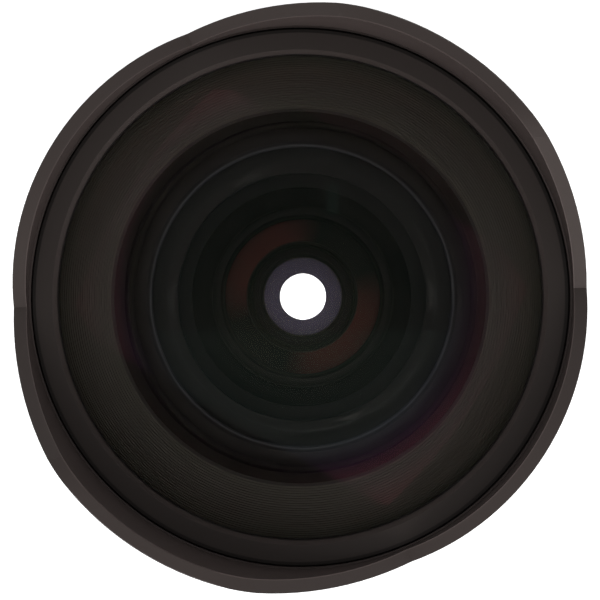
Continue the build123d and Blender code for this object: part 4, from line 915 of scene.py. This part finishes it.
def room_in_gloss(tree, path, sight, right, up):
    """Level of the room that shiny things see: a dim ceiling, its half on the picture's lower
    side a little brighter, with one lit panel, and white walls low down, the brightest at the
    windows on the picture's lower right and upper left."""
    above = add_node(
        tree, "ShaderNodeVectorMath", {"operation": "ADD"}, {1: (0, 0, 1)}, {0: sight}
    )
    halfway = direction_of(tree, (above, 0))
    lean = distance_from_axis(tree, halfway)
    down = part_along(tree, halfway, -up)
    across = part_along(tree, halfway, right)
    to_window = math.cos(WINDOW_ANGLE) * right + math.sin(WINDOW_ANGLE) * up
    to_petal = math.cos(PETAL_ANGLE) * right + math.sin(PETAL_ANGLE) * up

    ceiling = combined(
        tree,
        "MULTIPLY",
        smooth_step(tree, down, CEILING_MIDDLE, CEILING_LEVELS),
        smooth_step(tree, lean, CEILING_END, (1.0, CEILING_END_LEVEL)),
    )
    # The walls reach further up at the lower right window than at the upper left one
    tilted = add_node(
        tree,
        "ShaderNodeMath",
        {"operation": "MULTIPLY_ADD"},
        {1: WINDOW_RISE},
        {0: part_along(tree, halfway, to_window), 2: lean},
    )
    walls = combined(
        tree,
        "MULTIPLY",
        smooth_step(tree, (tilted, 0), WALL_EDGE, (0.0, 1.0)),
        smooth_step(tree, reach_along(tree, halfway, to_window), WINDOW_EDGE, WALL_LEVELS),
    )
    panel = combined(
        tree,
        "MULTIPLY",
        strip(tree, across, PANEL_ACROSS, PANEL_LEVEL),
        strip(tree, down, PANEL_DOWN, 1.0),
    )
    room = combined(tree, "ADD", ceiling, walls, panel)

    # The room ends behind the two tall petals, and its walls darken towards the floor
    behind = reach_along(tree, halfway, to_petal)
    between = smooth_step(tree, behind, PETAL_EDGE, (1.0, PETAL_LEVEL))
    low_walls = smooth_step(tree, lean, LOW_WALLS, (1.0, LOW_WALL_LEVEL))
    # Coatings reflect a darker room than metal does, so that their tints can be full ones
    on_glass = smooth_step(tree, (path, "Is Singular Ray"), (0.0, 1.0), (1.0, GLASS_SHARE))
    return combined(tree, "MULTIPLY", room, between, low_walls, on_glass)


def room_in_glass(tree, sight, up):
    """Level of the room that the glass shows faintly on its inner faces: least of all near the
    horizon, and less on the picture's upper side."""
    height = add_node(tree, "ShaderNodeSeparateXYZ", links={"Vector": sight})
    zenith = smooth_step(tree, (height, "Z"), INNER_HEIGHT, (0.0, 1.0))
    upward = part_along(tree, sight, up)
    upper = smooth_step(tree, upward, INNER_UPPER, (1.0, INNER_UPPER_LEVEL))
    return combined(tree, "MULTIPLY", zenith, upper)


def make_world(scene, settings):
    """Even fill light, a room for shiny things to show, and plain white behind the lens."""
    world = bpy.data.worlds.new("studio")
    world.use_nodes = True
    tree = world.node_tree
    tree.nodes.clear()
    right, up = picture_axes(settings)
    path = add_node(tree, "ShaderNodeLightPath")
    sight = (add_node(tree, "ShaderNodeTexCoord"), "Generated")
    in_gloss = room_in_gloss(tree, path, sight, right, up)
    in_glass = room_in_glass(tree, sight, up)
    white = {"Color": (1, 1, 1, 1)}
    kind = "ShaderNodeBackground"
    mixed = add_node(tree, kind, values={**white, "Strength": settings.fill})
    for ray, background in (
        ("Is Glossy Ray", add_node(tree, kind, None, white, {"Strength": in_gloss})),
        ("Is Transmission Ray", add_node(tree, kind, None, white, {"Strength": in_glass})),
        ("Is Camera Ray", add_node(tree, kind, values=white)),
    ):
        links = {0: (path, ray), 1: (mixed, 0), 2: (background, 0)}
        mixed = add_node(tree, "ShaderNodeMixShader", links=links)
    add_node(tree, "ShaderNodeOutputWorld", links={"Surface": (mixed, 0)})
    scene.world = world
    scene.view_settings.view_transform = "Standard"
    # A ray crosses twenty glass faces on its way in and as many on its way out
    scene.cycles.max_bounces = 64
    scene.cycles.transmission_bounces = 48


# The lamp's place in metres along the picture's right and up directions, then its height
LAMP_RIGHT = 0.2
LAMP_UP = -0.9
LAMP_HEIGHT = 0.7
LAMP_SIZE = 0.7

# Which way the camera stands off the axis, and where it looks, near the axis
CAMERA_RIGHT = 0.95
CAMERA_UP = 0.3
TARGET_RIGHT = 0.1 * MM
TARGET_UP = -0.35 * MM
SENSOR_WIDTH = 36


def make_lamp(settings):
    """One wide square lamp on the picture's lower side, whose shape no glass or gloss shows."""
    right, up = picture_axes(settings)
    target = Vector((0, 0, HOOD[1].z))
    place = LAMP_UP * up + LAMP_RIGHT * right + Vector((0, 0, LAMP_HEIGHT))
    lamp = bpy.data.lights.new("window_lamp", "AREA")
    lamp.size = LAMP_SIZE
    lamp.energy = settings.window_power
    holder = bpy.data.objects.new("window_lamp", lamp)
    holder.location = place
    holder.rotation_euler = (target - place).to_track_quat("-Z", "Y").to_euler()
    holder.visible_glossy = False
    holder.visible_transmission = False
    bpy.context.scene.collection.objects.link(holder)


def make_camera(scene, settings):
    """Camera over the front of the lens, a little off the optical axis."""
    right, up = picture_axes(settings)
    level = Vector((0, 0, NOTCH_HEIGHT))
    aside = settings.camera_aside * (CAMERA_RIGHT * right + CAMERA_UP * up)
    place = aside + level + Vector((0, 0, settings.camera_rise))
    target = TARGET_RIGHT * right + TARGET_UP * up + level
    back = (place - target).normalized()
    across = (right - right.dot(back) * back).normalized()
    camera = bpy.data.cameras.new("camera")
    camera.lens = settings.focal_length
    camera.sensor_width = SENSOR_WIDTH
    camera.clip_start = 0.01
    camera.clip_end = 100
    holder = bpy.data.objects.new("camera", camera)
    turn = Matrix((across, back.cross(across), back)).transposed()
    holder.matrix_world = Matrix.Translation(place) @ turn.to_4x4()
    scene.collection.objects.link(holder)
    scene.camera = holder


class CINELENS_OT_stage(bpy.types.Operator):
    """Make the white floor, the light and the camera"""

    bl_idname = "cinelens.stage"
    bl_label = "Stage"

    def execute(self, context):
        settings = context.scene.lens_stage
        make_floor(settings)
        make_world(context.scene, settings)
        make_lamp(settings)
        make_camera(context.scene, settings)
        return {"FINISHED"}


# How far inside the glass's rim the front ring's chamfered lip begins, the chamfer's width,
# and the width of the painted shade on the edge next to the hood
LIP_INSET = 0.35 * MM
LIP_CHAMFER = 0.65 * MM
DARK_EDGE = 0.5 * MM


class CINELENS_OT_barrels(bpy.types.Operator):
    """Finish the barrels, rings, hood and mount"""

    bl_idname = "cinelens.barrels"
    bl_label = "Barrels and mount"

    def execute(self, context):
        colours = context.scene.lens_colours
        black = blasted_anodise("blasted_black_anodised", colours.barrel)
        hood = hood_anodise(
            "satin_black_anodised", colours.hood, colours.hood_rim, colours.barrel
        )
        lip = FRONT_GLASS[1].x - LIP_INSET
        # Painted shade inside the lip, a painted highlight on the lip's chamfer, the ring's own
        # satin black, then painted shade on the edge next to the hood
        ring_bands = (
            (0.0, colours.painted_edge_shade),
            (lip, colours.lip),
            (lip + LIP_CHAMFER, colours.front_ring),
            (FRONT_RING[1].x - DARK_EDGE, colours.painted_edge_shade),
            (FRONT_RING[1].x, colours.painted_edge_shade),
        )
        ring = banded_anodise(
            "turned_front_ring", ring_bands, "CONSTANT", roughness=0.38, gloss=SATIN
        )
        chrome = bare_metal(
            "satin_chrome_plate", colours.chrome, roughness=0.22, pitch=0.08 * MM
        )
        brass = bare_metal("turned_brass", colours.brass, roughness=0.34, pitch=0.12 * MM)
        steel = bare_metal("ground_steel", colours.steel, roughness=0.28, pitch=0.06 * MM)
        screw = turned_anodise(
            "blackened_steel", colours.screw, roughness=0.35, pitch=FINE_PITCH
        )
        dot = engraving_paint("white_enamel", colours.white_ink)
        give(black, "rear_barrel", "main_barrel", "iris_ring", "index_band", "focus_ring")
        give(black, "focus_carriage", "front_barrel")
        give(hood, "petal_hood")
        give(ring, "front_retaining_ring")
        give(chrome, "bayonet_mount")
        give(brass, "mount_shim", "focus_cam_sleeve")
        give(steel, "mount_screws", "carriage_rollers", "iris_drive_pin")
        give(screw, "rear_barrel_screws", "hood_screws", "middle_cell_screws")
        give(screw, "iris_housing_screws", "rear_baffle_screws")
        give(dot, "mount_index_dot")
        return {"FINISHED"}


# The baffle darkens outwards between two radii: painted shade from the front ring and the hood
BAFFLE_SHADE = (30 * MM, 37 * MM)
BAFFLE_SHADE_SHARE = 0.4

# The second element's seat carries a painted highlight, brightest at its rim, and its retaining
# ring a painted highlight at its inner edge
SEAT_WIDTH = 3.0 * MM
HIGHLIGHT_EDGE_RADIUS = 25.2 * MM
HIGHLIGHT_EDGE_BLEND = 0.1 * MM
RETAINER_RADIUS = 27.5 * MM

# Where the shade ring shows its painted sheen, as an angle in the picture
SHEEN_SIDE = math.radians(138)


class CINELENS_OT_cells(bpy.types.Operator):
    """Finish the lens cells, baffles, retaining rings and iris"""

    bl_idname = "cinelens.cells"
    bl_label = "Cells and iris"

    def execute(self, context):
        colours = context.scene.lens_colours
        cell = turned_anodise(
            "flat_black_anodised", colours.cell, roughness=0.65, pitch=0.15 * MM
        )
        painted_shade = [BAFFLE_SHADE_SHARE * channel for channel in colours.baffle]
        baffle_bands = (
            (0.0, colours.baffle),
            (BAFFLE_SHADE[0], colours.baffle),
            (BAFFLE_SHADE[1], painted_shade),
        )
        baffle = banded_anodise(
            "dull_black_anodised", baffle_bands, "LINEAR", roughness=0.6, gloss=0.2
        )
        side = context.scene.lens_stage.camera_roll + SHEEN_SIDE
        direction = (math.cos(side), math.sin(side), 0)
        sheened_ring = sheen_painted_ring("anodised_painted_sheen", colours.retainer, colours.shade_ring, direction)
        retainer = turned_anodise(
            "matt_black_anodised", colours.retainer, roughness=0.7, pitch=FINE_PITCH
        )
        iris = bare_metal(
            "graphite_filmed_steel", colours.iris, roughness=0.35, pitch=FINE_PITCH
        )
        # A painted highlight at the retaining ring's inner edge, then its face
        highlight_bands = (
            (0.0, colours.edge_painted_highlight),
            (HIGHLIGHT_EDGE_RADIUS - HIGHLIGHT_EDGE_BLEND, colours.edge_painted_highlight),
            (HIGHLIGHT_EDGE_RADIUS, colours.cell),
            (RETAINER_RADIUS, colours.retainer_face),
        )
        edge_highlighted = banded_anodise(
            "black_anodised_edge_highlight", highlight_bands, "LINEAR", roughness=0.55, gloss=DULL
        )
        # Painted highlight on the seat, brightest at the second element's rim
        seat_bands = (
            (0.0, colours.cell),
            (SECOND_GLASS[1].x - SEAT_WIDTH, colours.cell),
            (SECOND_GLASS[1].x, colours.seat_painted_highlight),
            (FRONT_GLASS[1].x, colours.cell),
        )
        seat = banded_anodise(
            "black_anodised_seat_highlight", seat_bands, "LINEAR", roughness=0.65, gloss=SATIN
        )
        give(seat, "front_lens_cell")
        give(cell, "middle_lens_cell", "rear_lens_cell", "iris_cam_ring")
        give(cell, "middle_spacer", "rear_light_baffle")
        give(retainer, "third_element_retainer")
        give(cell, "middle_group_retainer", "iris_retaining_ring", "rear_front_spacer")
        give(cell, "rear_back_spacer", "rear_retaining_ring")
        give(edge_highlighted, "second_element_retainer")
        give(baffle, "ribbed_baffle")
        give(sheened_ring, "third_element_shade_ring")
        give(iris, "iris_housing")
        give(iris, *[name for name in frame["nodes"] if name.startswith("iris_blade")])
        return {"FINISHED"}


class CINELENS_OT_glass(bpy.types.Operator):
    """Make the ten lens elements, each with its coatings and its painted rim"""

    bl_idname = "cinelens.glass"
    bl_label = "Glass"

    def execute(self, context):
        paint = edge_paint("edge_black_paint", context.scene.lens_colours.edge_paint)
        for name, (ior, tint) in ELEMENTS.items():
            back = clear_glass(name + "_glass", ior, tint)
            front = back
            if name in COATINGS:
                front = coated_glass(name + "_front_glass", ior, COATINGS[name])
            glass_piece(name, front, back, paint)
        return {"FINISHED"}


# The focus ring's front land, the ribs' distance from its ends and how deep they sit in it
GRIP_LAND_RADIUS = 40.2 * MM
GRIP_LAND_LENGTH = 7.8 * MM
GRIP_MARGIN = 0.9 * MM
RIB_SINK = 0.15 * MM


class CINELENS_OT_grip(bpy.types.Operator):
    """Set rounded ribs round the front land of the focus ring"""

    bl_idname = "cinelens.grip"
    bl_label = "Grip ribs"

    def execute(self, context):
        marks = context.scene.lens_marks
        tree, sockets = around_ring_tree()
        values = {
            "Count": marks.rib_count,
            "Ring Radius": GRIP_LAND_RADIUS - RIB_SINK,
            "Low": FOCUS_RING[1].z - GRIP_LAND_LENGTH + GRIP_MARGIN,
            "Rod Radius": marks.rib_radius,
            "Rod Length": GRIP_LAND_LENGTH - 2 * GRIP_MARGIN,
            "Material": frame["nodes"]["focus_ring"].material_slots[0].material,
        }
        mesh = made_by_nodes("grip_ribs", tree, sockets, values)
        piece = shown("grip_ribs", mesh, "focus_ring")
        return {"FINISHED"}


class CINELENS_OT_scales(bpy.types.Operator):
    """Paint the distance scale, the iris scale and the index lines"""

    bl_idname = "cinelens.scales"
    bl_label = "Scales"

    def execute(self, context):
        marks = context.scene.lens_marks
        white = bpy.data.materials["white_enamel"]
        amber = engraving_paint("amber_enamel", context.scene.lens_colours.amber_ink)
        metres = on_both_sides([("∞", 0.0), *((f"{d:g}", distance_turn(d)) for d in METRES)])
        feet = on_both_sides([(f"{d:g}", distance_turn(d * METRES_PER_FOOT)) for d in FEET])
        stops = on_both_sides([(f"{s:g}", stop_turn(s)) for s in STOPS])
        size = marks.digit_size
        numbers("metre_numbers", metres, size, DISTANCE_BAND, METRE_RISE, white)
        numbers("foot_numbers", feet, size, DISTANCE_BAND, FOOT_RISE, amber)
        numbers("stop_numbers", stops, STOP_DIGIT_SHARE * size, IRIS_BAND, STOP_RISE, white)
        for name, words, band, rise in (
            ("distance_lines", metres, DISTANCE_BAND, DISTANCE_TICK_RISE),
            ("stop_lines", stops, IRIS_BAND, STOP_TICK_RISE),
        ):
            angles = [angle for _, angle in words]
            lines(name, angles, marks.line_width, TICK, band, rise, white)
        width = 2 * marks.line_width
        lines("index_lines", INDEX_ANGLES, width, INDEX_LENGTH, FIXED_BAND, INDEX_RISE, white)
        return {"FINISHED"}


class CINELENS_PT_panel(bpy.types.Panel):
    """Buttons that dress the lens, and the values they use"""

    bl_label = "Cine Lens"
    bl_idname = "CINELENS_PT_panel"
    bl_space_type = "VIEW_3D"
    bl_region_type = "UI"
    bl_category = "Cine Lens"

    def draw(self, context):
        for operator in OPERATORS:
            self.layout.operator(operator.bl_idname)
        for group_name in GROUPS:
            group = getattr(context.scene, group_name)
            for value_name in group.__annotations__:
                self.layout.prop(group, value_name)


OPERATORS = (
    CINELENS_OT_stage,
    CINELENS_OT_barrels,
    CINELENS_OT_cells,
    CINELENS_OT_glass,
    CINELENS_OT_grip,
    CINELENS_OT_scales,
)
GROUPS = {"lens_colours": LensColours, "lens_marks": LensMarks, "lens_stage": LensStage}
CLASSES = (*GROUPS.values(), *OPERATORS, CINELENS_PT_panel)


def register():
    for part in CLASSES:
        bpy.utils.register_class(part)
    for group_name, group in GROUPS.items():
        setattr(bpy.types.Scene, group_name, bpy.props.PointerProperty(type=group))


def unregister():
    for group_name in GROUPS:
        delattr(bpy.types.Scene, group_name)
    for part in reversed(CLASSES):
        bpy.utils.unregister_class(part)


def main():
    register()
    bpy.ops.cinelens.stage()
    bpy.ops.cinelens.barrels()
    bpy.ops.cinelens.cells()
    bpy.ops.cinelens.glass()
    bpy.ops.cinelens.grip()
    bpy.ops.cinelens.scales()


if __name__ == "__main__":
    main()
